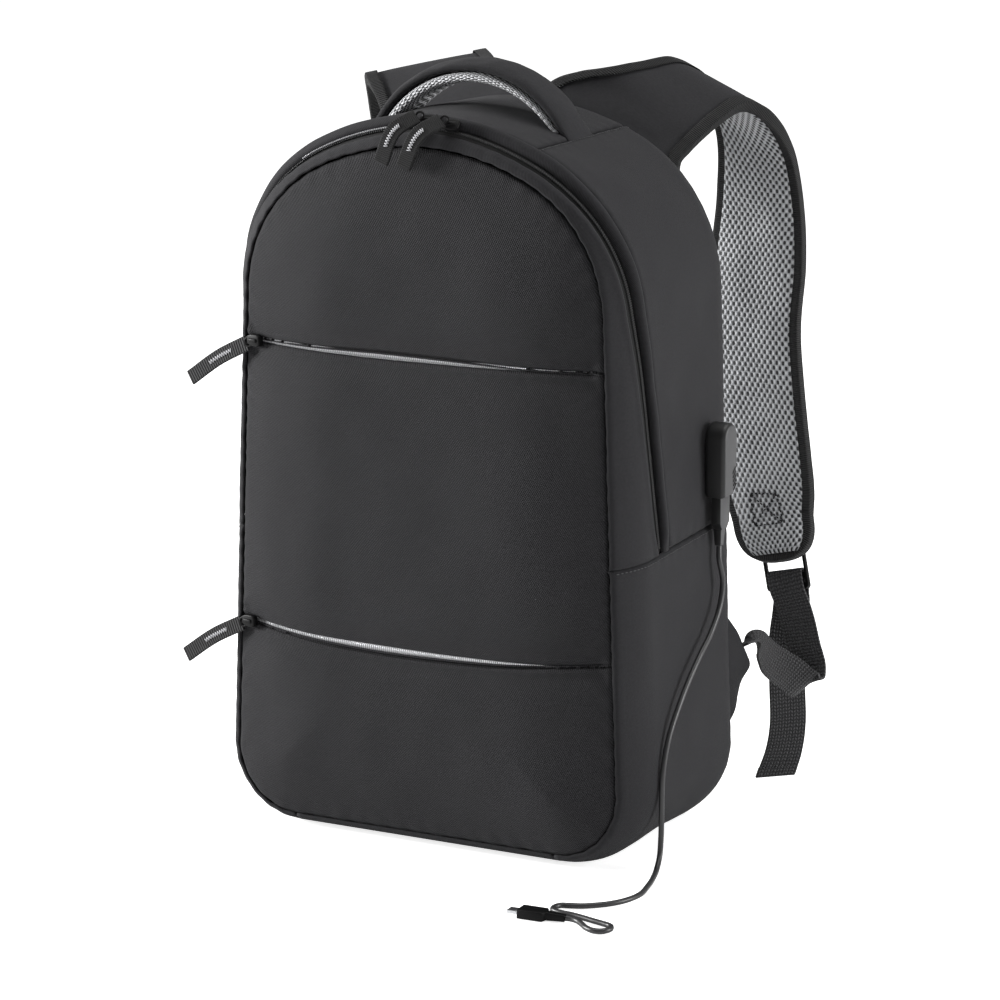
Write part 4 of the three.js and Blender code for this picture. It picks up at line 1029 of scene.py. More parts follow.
def arch_point(t, across, below, width, end_drop):
    """Point on the handle at t from -1 to 1 along it and across from -1 to 1."""
    depth = handle_back + across * width / 2
    end = gusset_point(top_seam + handle_seat - end_drop, depth, -1)
    radius = handle_radius - below
    angle = t * math.atan2(end.x, end.z - handle_centre)
    arch = Vector((radius * math.sin(angle), front_y + depth, handle_centre + radius * math.cos(angle)))
    foot_share = clamp((abs(t) - 0.86) / 0.14, 0, 1)
    end.x *= 1 if t > 0 else -1
    return arch.lerp(end, foot_share**1.5)


def handle_place(u, v):
    t, turn = 2 * v - 1, 2 * math.pi * u
    side = math.copysign(abs(math.cos(turn)) ** 0.62, -math.cos(turn))
    rise = math.copysign(abs(math.sin(turn)) ** 0.62, math.sin(turn))
    middle = handle_cloth / 2
    puff = handle_crown * (1 - side * side) * (rise > 0)
    crease = 0.5 * noise.noise(Vector((t * 9, side * 2, 4))) * (rise > 0)
    return arch_point(t, side, middle - rise * middle - puff - crease, handle_width, middle - rise * middle)


def handle_lining_place(u, v):
    t, turn = 2 * v - 1, 2 * math.pi * u
    side = math.copysign(abs(math.cos(turn)) ** 0.5, -math.cos(turn))
    rise = math.copysign(abs(math.sin(turn)) ** 0.5, math.sin(turn))
    thick = lining_puff * mix(1.2, 0.45, v) * (1 - abs(t) ** 8)
    below = lining_top - 0.9 + (1 - rise) / 2 * (thick + 0.8)
    return arch_point(t, side, below, handle_width + 0.8, handle_cloth + 0.6)


handle = lay_cloth(40, 110, handle_place, 70, 210, True)
bmesh.ops.recalc_face_normals(handle, faces=handle.faces)
finish_piece(handle, "handle_cloth", side_cloth, "dark_cloth", "handle")
lining = lay_cloth(40, 110, handle_lining_place, 68, 190, True)
bmesh.ops.recalc_face_normals(lining, faces=lining.faces)
finish_piece(lining, "handle_mesh", painted_light_mesh, "spacer_mesh", "handle_lining")

# Each shoulder strap leaves the crown wide and flat, turns over the back and narrows to a
# round end. It is a foam pad in side cloth with silver mesh below and a ribbed binding round
# its edge. Rows give its inner and outer edge as shares of the spread, reach and crest.
strap_spread, strap_reach = 140, 121
strap_wall, strap_end_round = 7, 28
crest_height = seam_lift + seam_height + 1.2 * gusset_swell + 18
hanging_rows = [
    (0.5, 1.01, 0.719, 0.964, 1.008, 0.715),
    (0.493, 1.01, 0.625, 0.943, 1.008, 0.621),
    (0.514, 0.983, 0.531, 0.986, 0.967, 0.531),
    (0.557, 0.934, 0.465, 1.043, 0.9, 0.463),
    (0.629, 0.868, 0.404, 1.093, 0.826, 0.412),
    (0.729, 0.769, 0.354, 1.107, 0.785, 0.379),
]
strap_rows = {
    "right": [
        (0.064, 0.05, 0.971, 0.714, 0.058, 0.883),
        (0.179, 0.116, 0.985, 0.729, 0.124, 0.894),
        (0.293, 0.19, 0.99, 0.75, 0.198, 0.906),
        (0.386, 0.347, 0.994, 0.793, 0.347, 0.927),
        (0.464, 0.504, 0.996, 0.843, 0.529, 0.942),
        (0.536, 0.678, 0.971, 0.9, 0.702, 0.923),
        (0.586, 0.835, 0.9, 0.943, 0.868, 0.875),
        (0.557, 0.934, 0.813, 0.964, 0.959, 0.804),
        *hanging_rows,
    ],
    "left": [
        (0.064, 0.05, 0.971, 0.743, 0.033, 0.89),
        (0.171, 0.108, 0.985, 0.8, 0.066, 0.91),
        (0.271, 0.182, 0.988, 0.857, 0.099, 0.931),
        (0.371, 0.331, 0.99, 0.921, 0.14, 0.95),
        (0.471, 0.471, 0.99, 0.979, 0.207, 0.956),
        (0.543, 0.62, 0.967, 1.021, 0.314, 0.929),
        (0.586, 0.744, 0.896, 1.05, 0.455, 0.865),
        (0.586, 0.868, 0.802, 1.021, 0.703, 0.767),
        *hanging_rows,
    ],
}
root_inner, root_outer = 2.5, crown_end + (shoulder_end - crown_end) * 0.3


def strap_root(across):
    at = gusset_point(mix(root_inner, root_outer, across), bag_depth, 1.5)
    return Vector((at.x, back_y - 1, at.z))


class StrapLine:
    """The middle surface of a strap on the right side."""

    def __init__(self, rows):
        def edge(first, across):
            return [strap_root(across)] + [
                Vector((
                    row[first] * strap_spread,
                    back_y + row[first + 1] * strap_reach,
                    row[first + 2] * crest_height,
                ))
                for row in rows
            ]

        self.inner, self.outer = edge(0, 0), edge(3, 1)
        self.count = 240
        self.stations = [self.station(k / self.count) for k in range(self.count + 1)]
        travelled = [0]
        for (a, *_), (b, *_) in zip(self.stations, self.stations[1:]):
            travelled.append(travelled[-1] + (b - a).length)
        self.length = travelled[-1]
        self.travelled = travelled

    def station(self, u):
        a, b = on_curve(self.inner, u), on_curve(self.outer, u)
        low, high = clamp(u - 0.004, 0, 1), clamp(u + 0.004, 0, 1)
        before = (on_curve(self.inner, low) + on_curve(self.outer, low)) / 2
        after = (on_curve(self.inner, high) + on_curve(self.outer, high)) / 2
        along = (after - before).normalized()
        over = (b - a).normalized()
        return (a + b) / 2, over, along, over.cross(along).normalized(), (b - a).length

    def at(self, u, across, past=0.0, height=0.0):
        """Point at u along the strap, across it from -1 to 1 and past its end from 0 to 1."""
        where = clamp(u, 0, 1) * self.count
        k = min(int(where), self.count - 1)
        share = where - k
        a, b = self.stations[k], self.stations[k + 1]
        middle, over, along, out = (a[n].lerp(b[n], share) for n in range(4))
        width = mix(a[4], b[4], share)
        squeeze = max(0.0, 1 - past**2.6) ** (1 / 2.6)
        point = middle + over * (across * width / 2 * squeeze) + along * (past * strap_end_round)
        fade = max(0, 1 - u / 0.1) ** 2
        if fade:
            straight = strap_root(0).lerp(strap_root(1), (across + 1) / 2)
            point += (strap_root((across + 1) / 2) - straight) * fade
        return point + out * height

    def width(self, u):
        return self.stations[round(clamp(u, 0, 1) * self.count)][4]


def run_length(line, run, past):
    """Length along a strap, in mm."""
    where = clamp(run, 0, 1) * line.count
    k = min(int(where), line.count - 1)
    return mix(line.travelled[k], line.travelled[k + 1], where - k) + past * strap_end_round


def strap_run(k, count, end_count):
    """Station k along the strap as a share of its length and of its round end."""
    if k <= count:
        return k / count, 0.0
    return 1.0, math.sin((k - count) / end_count * math.pi / 2)


binding_tape = tape_cloth("binding_tape", 0.014, 0.0014, 0.0, 0.0007)
box_thread = moulded("box_thread", 0.012, 0.7, specular=0.2)
box_seat, box_half = (37, -1), (13, 10)
strap_side = {}
for side, sign in (("right", 1), ("left", -1)):
    line = StrapLine(strap_rows[side])
    strap_side[side] = line
    flip = Vector((sign, 1, 1))
    rows, end_rows, mesh_start, mesh_inset = 150, 16, 18, 5
    total = line.length + strap_end_round

    def mirrored(at, flip=flip):
        return Vector((at.x * flip.x, at.y, at.z))

    def dents(u, across, line=line):
        """Soft hollows of the cloth between root and bend, and a slow wave below."""
        near_root = math.exp(-((u - 0.12) / 0.12) ** 2)
        place = line.at(u, across)
        return near_root * 2.2 * ripple(place, 34, 12) + 0.6 * ripple(place, 55, 15)

    def body_place(u, v, line=line, mirrored=mirrored, dents=dents):
        k = v * (rows + end_rows)
        run, past = strap_run(k, rows, end_rows)
        turn = 2 * math.pi * u
        across = math.copysign(abs(math.cos(turn)) ** 0.55, -math.cos(turn))
        rise = math.copysign(abs(math.sin(turn)) ** 0.55, math.sin(turn))
        height = strap_wall / 2 * rise * (1 - 0.35 * past**4)
        if rise > 0:
            height += dents(run, across) * (1 - across**4) * (1 - past)
        return mirrored(line.at(run, across, past * 0.985, height))

    def body_spot(_, old, line=line):
        u, v = old / MM
        run, past = strap_run(v * (rows + end_rows), rows, end_rows)
        across = math.cos(2 * math.pi * u) * line.width(run) / 2
        return across * MM, run_length(line, run, past) * MM

    body = lay_cloth(52, rows + end_rows, body_place, 1, 1, True)
    map_cloth(body, body_spot)
    bmesh.ops.recalc_face_normals(body, faces=body.faces)
    piece = finish_piece(body, f"strap_cloth_{side}", side_cloth, "dark_cloth", f"strap_{side}")

    def mesh_height(side_share, end_puff, from_end, aside):
        """Height of the mesh: crowned between its edges and pressed in at the boxed stitch."""
        side_puff = max(0, 1 - abs(side_share) ** 3) ** 0.7
        box = max(abs(from_end - box_seat[0]) / box_half[0], abs(aside - box_seat[1]) / box_half[1])
        press = 1.1 * clamp((1.35 - box) / 0.35, 0, 1)
        return -strap_wall / 2 - 0.3 - max(0, 2.4 * side_puff * end_puff - press)

    def under_place(u, v, line=line, mirrored=mirrored, mesh_height=mesh_height):
        k = mix(mesh_start, rows + end_rows, v)
        run, past = strap_run(k, rows, end_rows)
        inset = 1 - 2 * mesh_inset / line.width(run)
        across = (2 * u - 1) * inset
        end_puff = clamp((1 - v) / 0.03, 0, 1) ** 0.5 * clamp(v / 0.02, 0, 1)
        from_end = strap_end_round * (1 - past) + (1 - run) * line.length
        height = mesh_height(2 * u - 1, end_puff, from_end, across * line.width(run) / 2)
        wave = (1 - abs(2 * u - 1) ** 3) * end_puff * clamp((from_end - 55) / 25, 0, 1)
        height -= 1.3 * (ripple(line.at(run, across), 25, 21) - 0.3) * wave
        return mirrored(line.at(run, across, past * (1 - mesh_inset / strap_end_round), height))

    def under_spot(_, old, line=line):
        u, v = old / MM
        run, past = strap_run(mix(mesh_start, rows + end_rows, v), rows, end_rows)
        across = (u - 0.5) * (line.width(run) - 2 * mesh_inset)
        return across * MM, run_length(line, run, past) * MM

    under = lay_cloth(34, 260, under_place, 1, 1)
    map_cloth(under, under_spot)
    bmesh.ops.recalc_face_normals(under, faces=under.faces)
    piece = finish_piece(under, f"strap_mesh_{side}", silver_mesh, "spacer_mesh", f"strap_lining_{side}")
    piece.modifiers.new("wall", "SOLIDIFY").thickness = 0.6 * MM

    def box_spot(down, aside, line=line, mirrored=mirrored, mesh_height=mesh_height):
        """Point on the mesh inside the boxed stitch, in half box sizes from its middle."""
        from_end, aside = box_seat[0] - down * box_half[0], box_seat[1] + aside * box_half[1]
        past = max(0, 1 - from_end / strap_end_round)
        run = 1 - max(0, from_end - strap_end_round) / line.length
        half = line.width(run) / 2
        height = mesh_height(aside / (half - mesh_inset), 1, from_end, aside)
        return mirrored(line.at(run, aside / half, past, height - 1.25))

    box = bmesh.new()
    under_side = line.stations[-1][3] * -1
    under_side = Vector((under_side.x * sign, under_side.y, under_side.z))
    corners = [(-1, -1), (-1, 1), (1, 1), (1, -1)]
    lines = [*zip(corners, corners[1:] + corners[:1]), (corners[0], corners[2]), (corners[1], corners[3])]
    for (a_down, a_side), (b_down, b_side) in lines:
        count = 10 if a_down != b_down and a_side != b_side else 7
        for k in range(count):
            first, last = (k + 0.14) / count, (k + 0.86) / count
            a = box_spot(mix(a_down, b_down, first), mix(a_side, b_side, first))
            b = box_spot(mix(a_down, b_down, last), mix(a_side, b_side, last))
            add_stitch(box, a, b, under_side, 0.62)
    finish_piece(box, f"strap_box_stitch_{side}", box_thread, "dark_cloth")

    def edge_station(q):
        """u, across and past on the strap's edge: down the inner side, round, up the outer."""
        limb = 0.46
        if q < limb:
            return q / limb, -1.0, 0.0
        if q > 1 - limb:
            return (1 - q) / limb, 1.0, 0.0
        turn = (q - limb) / (1 - 2 * limb) * math.pi
        return 1.0, -math.copysign(abs(math.cos(turn)) ** 0.77, math.cos(turn)), math.sin(turn) ** 0.77

    def edge_place(u, v, line=line, mirrored=mirrored):
        run, across, past = edge_station(v)
        width = line.width(run) / 2
        turn = mix(-1, 1, u)
        depth = max(0.0, abs(turn) - 0.3) / 0.7 * 8 - 0.6
        height = math.copysign(min(1, abs(turn) / 0.3) ** 0.6, turn) * (strap_wall / 2 + 0.5)
        bulge = 0.25 * math.sin(v * total * 2 / 3.1)
        if past > 0:
            reach = math.hypot(across * width, past * strap_end_round)
            shrink = 1 - depth / reach
            at = line.at(1.0, 0, 0, height + bulge * 0.3)
            middle, over, along = line.stations[-1][0], line.stations[-1][1], line.stations[-1][2]
            at += over * (across * width * shrink) + along * (past * strap_end_round * shrink)
            return mirrored(at)
        return mirrored(line.at(run, across * (1 - depth / width), 0, height + bulge * 0.3))

    def edge_spot(_, old, line=line):
        run, across, past = edge_station(old.y / MM)
        way = run_length(line, run, 0)
        if past > 0:
            way += math.atan2(past, -across) * strap_end_round
        elif across > 0:
            way = 2 * line.length + math.pi * strap_end_round - way
        return old.x, way * MM

    edge = lay_cloth(12, 460, edge_place, 20, 1)
    map_cloth(edge, edge_spot)
    bmesh.ops.recalc_face_normals(edge, faces=edge.faces)
    piece = finish_piece(edge, f"strap_binding_{side}", binding_tape, "webbing_tape")
    piece.modifiers.new("wall", "SOLIDIFY").thickness = 0.5 * MM

# Ladder locks are moulded in hard black plastic and lie on the outer face of each strap's
# end, held by a short loop of webbing that is sewn to the strap and goes round the top bar.
web_width, web_wall, web_gap = 24, 1.6, 1
lock_wall, lock_height, lock_bar, lock_slot, lock_below = 4, 42, 3.5, 4, 19
strap_tip = strap_side["right"].stations[-1]
tip_over, tip_along, tip_out = strap_tip[1], strap_tip[2], strap_tip[3]
lock_stand = strap_wall / 2 + 0.4 + web_wall + web_gap + lock_wall / 2
lock_seat = strap_tip[0] + tip_along * strap_end_round + tip_out * lock_stand
web_off = lock_wall / 2 + web_gap + web_wall / 2
lock_top = lock_below - lock_height
bar_turn = [(0.8, 1), (2.2, 0.55), (2.7, 0), (2.2, -0.55), (0.8, -1)]

# Webbing: a heavy tape woven in rows of small slanted pips.
pips, told, given = group_tree(
    "webbing_weave",
    {"Coordinates": "Vector", "Row": 0.0023, "Pip": 0.0019},
    {"Height": "Float", "Shade": "Float"},
)
parts = add_node(pips, "SeparateXYZ")
feed(pips, parts, told["Coordinates"])
zigzag = maths(pips, "PINGPONG", parts.outputs[0], told["Pip"])
slant = maths(pips, "ADD", parts.outputs[1], maths(pips, "MULTIPLY", zigzag, 0.45))
row_turns = maths(pips, "DIVIDE", 2 * math.pi, told["Row"])
rows_height = maths(pips, "SINE", maths(pips, "MULTIPLY", slant, row_turns))
pip_turns = maths(pips, "DIVIDE", math.pi, told["Pip"])
pip_wave = maths(pips, "SINE", maths(pips, "MULTIPLY", parts.outputs[0], pip_turns))
pip_height = maths(pips, "ABSOLUTE", pip_wave)
lumps = maths(pips, "MULTIPLY", maths(pips, "MULTIPLY_ADD", rows_height, 0.5, 0.5), pip_height)
pips.links.new(lumps, given["Height"])
# Painted light and shade: the raised pips are lighter and the hollows between them darker, in step with
# their height.
pips.links.new(maths(pips, "MULTIPLY_ADD", lumps, 1.3, 0.45), given["Shade"])


def webbing_cloth(name, colour):
    made, tree, surface = shader(name, colour, 0.6, sheen=0.03, specular=0.35)
    flat = add_node(tree, "UVMap").outputs[0]
    spot = add_node(tree, "TexCoord").outputs["Object"]
    lumps = place_group(tree, pips, Coordinates=flat)
    worn = place_group(tree, grain, Coordinates=spot, Patch=30.0, Speck=1500.0, Depth=0.3)
    tint(tree, surface, (colour, colour * 0.99, colour * 1.05), maths(
        tree, "MULTIPLY", lumps["Shade"], worn["Shade"]
    ))
    bump(tree, surface, lumps["Height"], 0.0007)
    return made


black_webbing = webbing_cloth("black_webbing", 0.034)


def lock_point(down, stand):
    """Point on the middle line of the right lock, down past the strap's end and out from it."""
    return lock_seat + tip_along * down + tip_out * stand


def lay_strip(stations, steps, width, sign, lean=0.0, lean_from=0.0):
    """Webbing along (point, direction of its width, share of it) stations. Its rows lean
    more and more to the end from a share of its way on."""
    centres = [at for at, _, _ in stations]
    last = len(stations) - 1
    travelled = [0]
    for a, b in zip(centres, centres[1:]):
        travelled.append(travelled[-1] + (b - a).length)

    def place(u, v):
        at = on_curve(centres, v)
        along = on_curve(centres, min(v + 0.002, 1)) - on_curve(centres, max(v - 0.002, 0))
        k = min(int(v * last), last - 1)
        over = stations[k][1].lerp(stations[k + 1][1], v * last - k)
        full = mix(stations[k][2], stations[k + 1][2], v * last - k)
        normal = along.cross(over).normalized()
        wide = normal.cross(along).normalized()
        wide += along.normalized() * lean * clamp((v - lean_from) / (1 - lean_from), 0, 1)
        at = at + wide * ((u - 0.5) * width * full)
        return Vector((sign * at.x, at.y, at.z))

    def spot(_, old):
        where = old.y / MM * last
        k = min(int(where), last - 1)
        return old.x, mix(travelled[k], travelled[k + 1], where - k) * MM

    made = lay_cloth(10, steps, place, width, 1)
    map_cloth(made, spot)
    bmesh.ops.recalc_face_normals(made, faces=made.faces)
    return made


def centre_wall(piece, wall):
    """Gives tape its wall to both sides, with rounded edges."""
    shell = piece.modifiers.new("wall", "SOLIDIFY")
    shell.thickness = wall * MM
    shell.offset = 0
    soft = piece.modifiers.new("soft_edge", "BEVEL")
    soft.width = wall * 0.3 * MM
    soft.segments = 2
    soft.limit_method = "ANGLE"
    soft.angle_limit = math.radians(60)
    return piece


loop_length, loop_lift = 28, 1
loop_under = loop_lift - web_off
loop_line = [(lock_top - loop_length, loop_under)]
loop_line += [(lock_top + lock_bar + past, -out * web_off) for past, out in bar_turn]
loop_line += [
    (lock_top - 1, web_off), (lock_top - 9, web_off * 0.5), (lock_top - 14, loop_under + web_wall + 0.4),
    (lock_top - loop_length, loop_under + web_wall + 0.4),
]
for side, sign in (("left", -1), ("right", 1)):
    softened(f"ladder_lock_{side}", f"ladder_lock_body_{side}", black_plastic, "hard_plastic", 0.9, 3)
    stations = [(lock_point(down, out), tip_over, 1) for down, out in loop_line]
    made = lay_strip(stations, 90, web_width, sign)
    centre_wall(
        finish_piece(made, f"lock_loop_web_{side}", black_webbing, "webbing_tape", f"lock_loop_{side}"),
        web_wall,
    )

# A wing tab of padded side cloth is sewn into the back seam low on each side, with a waved
# edge. Rows give height as a share of the tab's height and reach as a share of its reach.
tab_height, tab_reach, tab_wall, tab_centre = 74, 22.5, 3, 98
tab_flare = math.radians(20)
tab_ups = [0.5, 0.4, 0.3, 0.18, 0.09, -0.02, -0.14, -0.25, -0.38, -0.5]
tab_reaches = [0.04, 0.3, 0.55, 0.78, 0.93, 1, 0.68, 0.55, 0.4, 0.04]


def tab_point(up, reach):
    z = tab_centre + up * tab_height
    root = gusset_point(seam_length_at(z), bag_depth, (tab_wall - 2) / 2)
    start = tab_wall / 2 * math.sin(tab_flare)
    return Vector((
        root.x + math.sin(tab_flare) * reach, back_y + start + math.cos(tab_flare) * reach, z,
    ))


for side, sign in (("left", -1), ("right", 1)):
    def tab_place(u, v, sign=sign):
        up = mix(0.5, -0.5, v)
        reach = smooth_steps([-up for up in tab_ups], tab_reaches, -up)
        at = tab_point(up, u * tab_reach * reach)
        at.x += 1.2 * ripple(at, 20, 5) * u
        return Vector((sign * at.x, at.y, at.z))

    made = lay_cloth(16, 60, tab_place, tab_reach, tab_height)
    bmesh.ops.recalc_face_normals(made, faces=made.faces)
    centre_wall(
        finish_piece(made, f"wing_tab_cloth_{side}", side_cloth, "dark_cloth", f"wing_tab_{side}"), 2.6
    )

# The adjusting webbing is sewn to the wing tab, hangs in a slack turn, goes up round the
# lock's middle bar and hangs down to a free end with a folded hem. Rows of the slack turn
# give the share of the way to the lock, of the drop and of the swing, and aim its width.
slack_drop, slack_swing = 62, 24
slack_rows = [
    (0, -0.03, 0, 112, -10, 0.35),
    (0.17, -0.02, 0.03, 96, 8, 0.6),
    (0.48, 0.39, 0.08, 76, 26, 0.92),
    (0.76, 0.74, 0.42, 44, 35, 1),
    (0.9, 0.93, 0.62, 23, 41, 1),
    (1.01, 1, 0.66, 12, 43, 1),
    (1.09, 0.9, 0.6, 6, 34, 1),
    (1.09, 0.66, 0.42, 3, 22, 1),
    (1.06, 0.31, 0.22, 2, 17, 1),
]
free_length, free_sway, hem_lean = 123, 11, -0.4
free_rows = [
    (0.12, -0.2, 0.3), (0.27, -0.42, 0.36), (0.51, -0.36, 0.3), (0.73, -0.1, -0.09),
    (0.87, -0.15, -0.5), (1.01, -0.5, -0.95),
]
front_web = -web_off
lock_foot = lock_point(lock_below, front_web)
tab_tip = tab_point(tab_ups[4], tab_reach + 1)


def slack_over(turn, tilt):
    turn, tilt = math.radians(turn), math.radians(tilt)
    return Vector((math.cos(turn) * math.cos(tilt), math.sin(turn) * math.cos(tilt), math.sin(tilt)))


slack_knots = [
    (tab_tip.lerp(lock_foot, along) + Vector((swing * slack_swing, 0, -drop * slack_drop)),
     slack_over(turn, tilt), full)
    for along, drop, swing, turn, tilt, full in slack_rows
] + [(lock_foot, tip_over, 1)]
slack_knots[0] = (tab_point(0.165, 18.4), *slack_knots[0][1:])
slack_centres = [at for at, _, _ in slack_knots]
web_stations = []
slack_steps = 22
for step in range(slack_steps):
    where = step / slack_steps * (len(slack_knots) - 1)
    k = int(where)
    (_, over, full), (_, next_over, next_full) = slack_knots[k], slack_knots[k + 1]
    web_stations.append((
        on_curve(slack_centres, step / slack_steps), over.lerp(next_over, where - k),
        mix(full, next_full, where - k),
    ))
bar_top = lock_below - 2 * lock_bar - lock_slot
web_stations.append((lock_foot, tip_over, 1))
web_stations += [(lock_point(bar_top - past, out * front_web), tip_over, 1) for past, out in bar_turn]
free_start = lock_point(lock_below, -front_web)
web_stations.append((free_start, tip_over, 1))
for k, (down, aside, back) in enumerate(free_rows):
    at = free_start + Vector((aside * free_sway, back * free_sway, -down * free_length))
    web_stations.append((at, tip_over.lerp(Vector((1, 0.7, 0)), min(1, (k + 1) / 3)), 1))
hem_stations = [
    (mix(web_stations[-2][0], web_stations[-1][0], share), web_stations[-1][1], 1)
    for share in (0.62, 0.8, 1)
]
for side, sign in (("left", -1), ("right", 1)):
    made = lay_strip(web_stations, 420, web_width, sign, hem_lean, 0.91)
    centre_wall(
        finish_piece(made, f"webbing_tape_{side}", black_webbing, "webbing_tape", f"webbing_{side}"),
        web_wall,
    )
    made = lay_strip(hem_stations, 8, web_width + 0.6, sign, hem_lean, -8)
    centre_wall(finish_piece(made, f"webbing_hem_{side}", black_webbing, "webbing_tape"), web_wall + 1.8)

# Each zip slider is a small black casting with a bridge on top. A ring through the bridge
# holds a pull of folded ribbed tape, which is closed by a zigzag of white thread.
slider_length, slider_wall = 11, 4
pull_width, pull_wall, pull_length, top_pull_length = 10, 2, 50, 46
pull_tape = tape_cloth("pull_tape", 0.022, 0.0018, 0.0, 0.0006)
smooth_tape = tape_cloth("smooth_tape", 0.01, 0.0012, 0.0, 0.0002)
white_thread = moulded("white_thread", 0.5, 0.6)


def tab_pull(name, node, start, middle, end, over, stitched, material):
    """Folded tape pull along three points, with a zigzag stitch between two shares of it."""
    stations = [(at, over, 1) for at in (start, middle, end)]
    made = lay_strip(stations, 60, pull_width, 1)
    centre_wall(finish_piece(made, name, material, "webbing_tape", node), pull_wall)
    centres = [at for at, _, _ in stations]
    zigzag, peaks = bmesh.new(), 20
    spots = []
    for k in range(peaks + 1):
        share = mix(*stitched, k / peaks)
        along = on_curve(centres, share + 0.01) - on_curve(centres, share - 0.01)
        out = along.cross(over).normalized()
        if out.y > 0:
            out.negate()
        wide = out.cross(along).normalized()
        aside = 1.5 if k % 2 else -1.5
        spots.append((on_curve(centres, share) + wide * aside + out * (pull_wall / 2 + 0.25), out))
    for (a, out), (b, _) in zip(spots, spots[1:]):
        add_stitch(zigzag, a, b, out, 0.34)
    finish_piece(zigzag, f"{name}_stitch", white_thread, "webbing_tape")


def puller_ring(name, at, way, over, length=4.2, half=3.0, wire=0.75):
    """Round-wire ring that holds a pull to its slider."""
    made = bmesh.new()
    loop = bmesh.ops.create_circle(made, segments=8, radius=wire)
    bmesh.ops.rotate(made, verts=made.verts, cent=(0, 0, 0), matrix=Matrix.Rotation(math.pi / 2, 3, "X"))
    bmesh.ops.translate(made, verts=made.verts, vec=(half, 0, 0))
    bmesh.ops.spin(
        made, geom=loop["verts"] + list(made.edges), cent=(0, 0, 0), axis=(0, 0, 1),
        angle=2 * math.pi, steps=32, use_merge=True,
    )
    bmesh.ops.remove_doubles(made, verts=made.verts, dist=1e-4)
    bmesh.ops.recalc_face_normals(made, faces=made.faces)
    for vert in made.verts:
        vert.co.y += math.copysign(length - half, vert.co.y) / 2
    seat = Matrix((over, way, over.cross(way))).transposed().to_4x4()
    seat.translation = at
    bmesh.ops.transform(made, matrix=Matrix.Scale(MM, 4) @ seat, verts=made.verts)
    finish_piece(made, name, black_plastic, "hard_plastic")


def slider_bridge(name, at, along, out):
    """Rounded block on top of a slider, for its bridge."""
    made = bmesh.new()
    bmesh.ops.create_cube(made, size=1)
    bmesh.ops.scale(made, verts=made.verts, vec=(2.6, slider_length * 0.62, 1.9))
    bmesh.ops.bevel(
        made, geom=made.edges, affect="EDGES", offset=0.8, segments=3, profile=0.5, material=-1,
    )
    side = along.cross(out).normalized()
    seat = Matrix((side, along, side.cross(along))).transposed().to_4x4()
    seat.translation = at
    bmesh.ops.transform(made, matrix=Matrix.Scale(MM, 4) @ seat, verts=made.verts)
    finish_piece(made, name, black_plastic, "hard_plastic")


for zip_name, height in pocket_heights.items():
    softened(
        f"pocket_slider_{zip_name}", f"pocket_slider_body_{zip_name}", black_plastic, "hard_plastic", 0.9, 3
    )
    x = 10 - seam_point(seam_length_at(height))[0]
    z = pocket_zip_height(zip_name, x)
    face = Vector((x, front_y - panel_stand(x, z, seam_distance(x, z)), z))
    out = Vector((-0.35, -1, 0)).normalized()
    along = Vector((-1, 0.25, 0)).normalized()
    slider_bridge(f"pocket_bridge_{zip_name}", face + out * (1.8 + slider_wall), along, out)
    start = face + out * (1.8 + slider_wall / 2 + 0.4) + along * (slider_length / 2 + 0.8)
    start.z -= 2.5
    way = Vector((-0.85, 0, -0.53)).normalized()
    end = start + way * pull_length
    over = way.cross(out).normalized()
    middle = start.lerp(end, 0.5) + Vector((0, 0, 2))
    tab_pull(
        f"pocket_pull_tape_{zip_name}", f"pocket_pull_{zip_name}", start, middle, end, over,
        (0.26, 0.64), pull_tape,
    )
    puller_ring(f"pocket_ring_{zip_name}", start - way * 2.5 + out * 0.6, way, over)

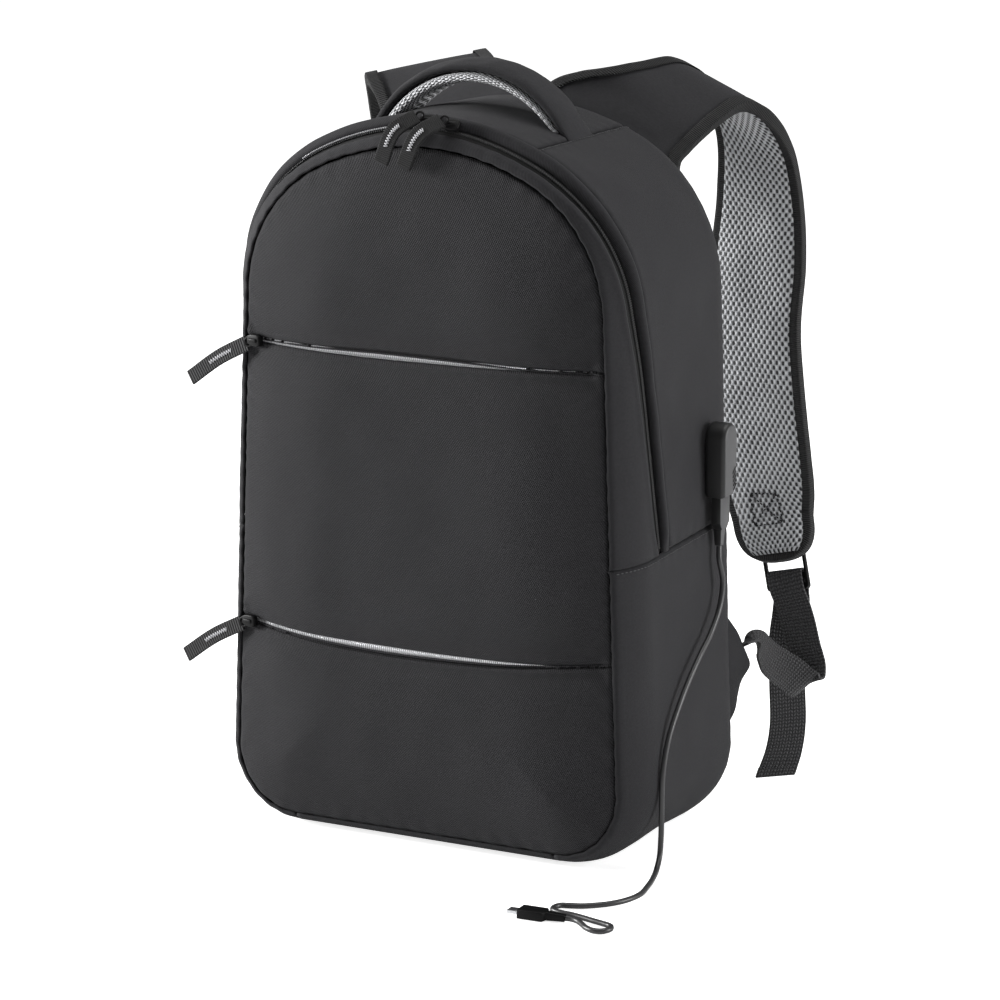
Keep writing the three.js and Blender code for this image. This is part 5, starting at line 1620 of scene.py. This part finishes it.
for name, along_zip in (("a", 2), ("b", 17)):
    softened(f"top_slider_{name}", f"top_slider_body_{name}", black_plastic, "hard_plastic", 0.9, 3)
    seat = gusset_point(along_zip, main_zip_at(along_zip))
    out = Vector((seat.x / crown_radius, -0.75, 0.66)).normalized()
    way = Vector((-1, 0, 0))
    slider_bridge(f"top_bridge_{name}", seat + out * (0.7 + slider_wall), way, out)
    start = seat + out * (0.7 + slider_wall + 2 + pull_wall / 2) + way * slider_length / 2
    drop = top_pull_length * 0.62
    end_x, end_z = seat.x - top_pull_length * 0.525, start.z - drop
    stand = panel_stand(end_x, end_z, seam_distance(end_x, end_z))
    end = Vector((end_x, front_y - stand - pull_wall - 5, end_z))
    middle = start.lerp(end, 0.45) + Vector((-3, -3, 4))
    over = Vector((0.85, 0, -0.5)).normalized()
    tab_pull(
        f"top_pull_tape_{name}", f"top_pull_{name}", start, middle, end, over, (0.36, 0.76), smooth_tape
    )
    puller_ring(f"top_ring_{name}", start + Vector((1.5, 0, 0)), (end - start).normalized(), over, 3.4, 2.3)

# Floor and lights: a wide, flat, pale floor that glows a little, lit by large soft lamps
# from the left, from the right and from above.
floor_mesh = bmesh.new()
bmesh.ops.create_grid(floor_mesh, x_segments=1, y_segments=1, size=12)
floor_data = bpy.data.meshes.new("floor")
floor_mesh.to_mesh(floor_data)
floor_mesh.free()
floor = bpy.data.objects.new("floor", floor_data)
bpy.context.scene.collection.objects.link(floor)
floor_paint, floor_tree, floor_surface = shader("floor_paint", (0.93, 0.93, 0.93), 0.7)
glow = add_node(floor_tree, "LightPath").outputs["Is Camera Ray"]
floor_surface.inputs["Emission Color"].default_value = (1, 1, 1, 1)
floor_tree.links.new(maths(floor_tree, "MULTIPLY", glow, 0.8), floor_surface.inputs["Emission Strength"])
floor_data.materials.append(floor_paint)

world = bpy.data.worlds.new("studio")
world.use_nodes = True
world.node_tree.nodes["Background"].inputs[0].default_value = (1, 1, 1, 1)
world.node_tree.nodes["Background"].inputs[1].default_value = 0.22
bpy.context.scene.world = world


def soft_lamp(name, place, aim, size, power):
    lamp = bpy.data.lights.new(name, "AREA")
    lamp.shape = "SQUARE"
    lamp.size = size
    lamp.energy = power
    stand = bpy.data.objects.new(name, lamp)
    stand.location = place
    stand.rotation_euler = (Vector(place) - Vector(aim)).to_track_quat("Z", "Y").to_euler()
    bpy.context.scene.collection.objects.link(stand)


soft_lamp("key_lamp", (-2.5, -0.95, 0.9), (0, 0, 0.25), 0.8, 120)
soft_lamp("side_lamp", (2.4, 0.7, 0.7), (0.1, 0, 0.25), 0.9, 42)
soft_lamp("top_lamp", (0, 0.2, 2.6), (0, 0, 0.3), 2.4, 50)
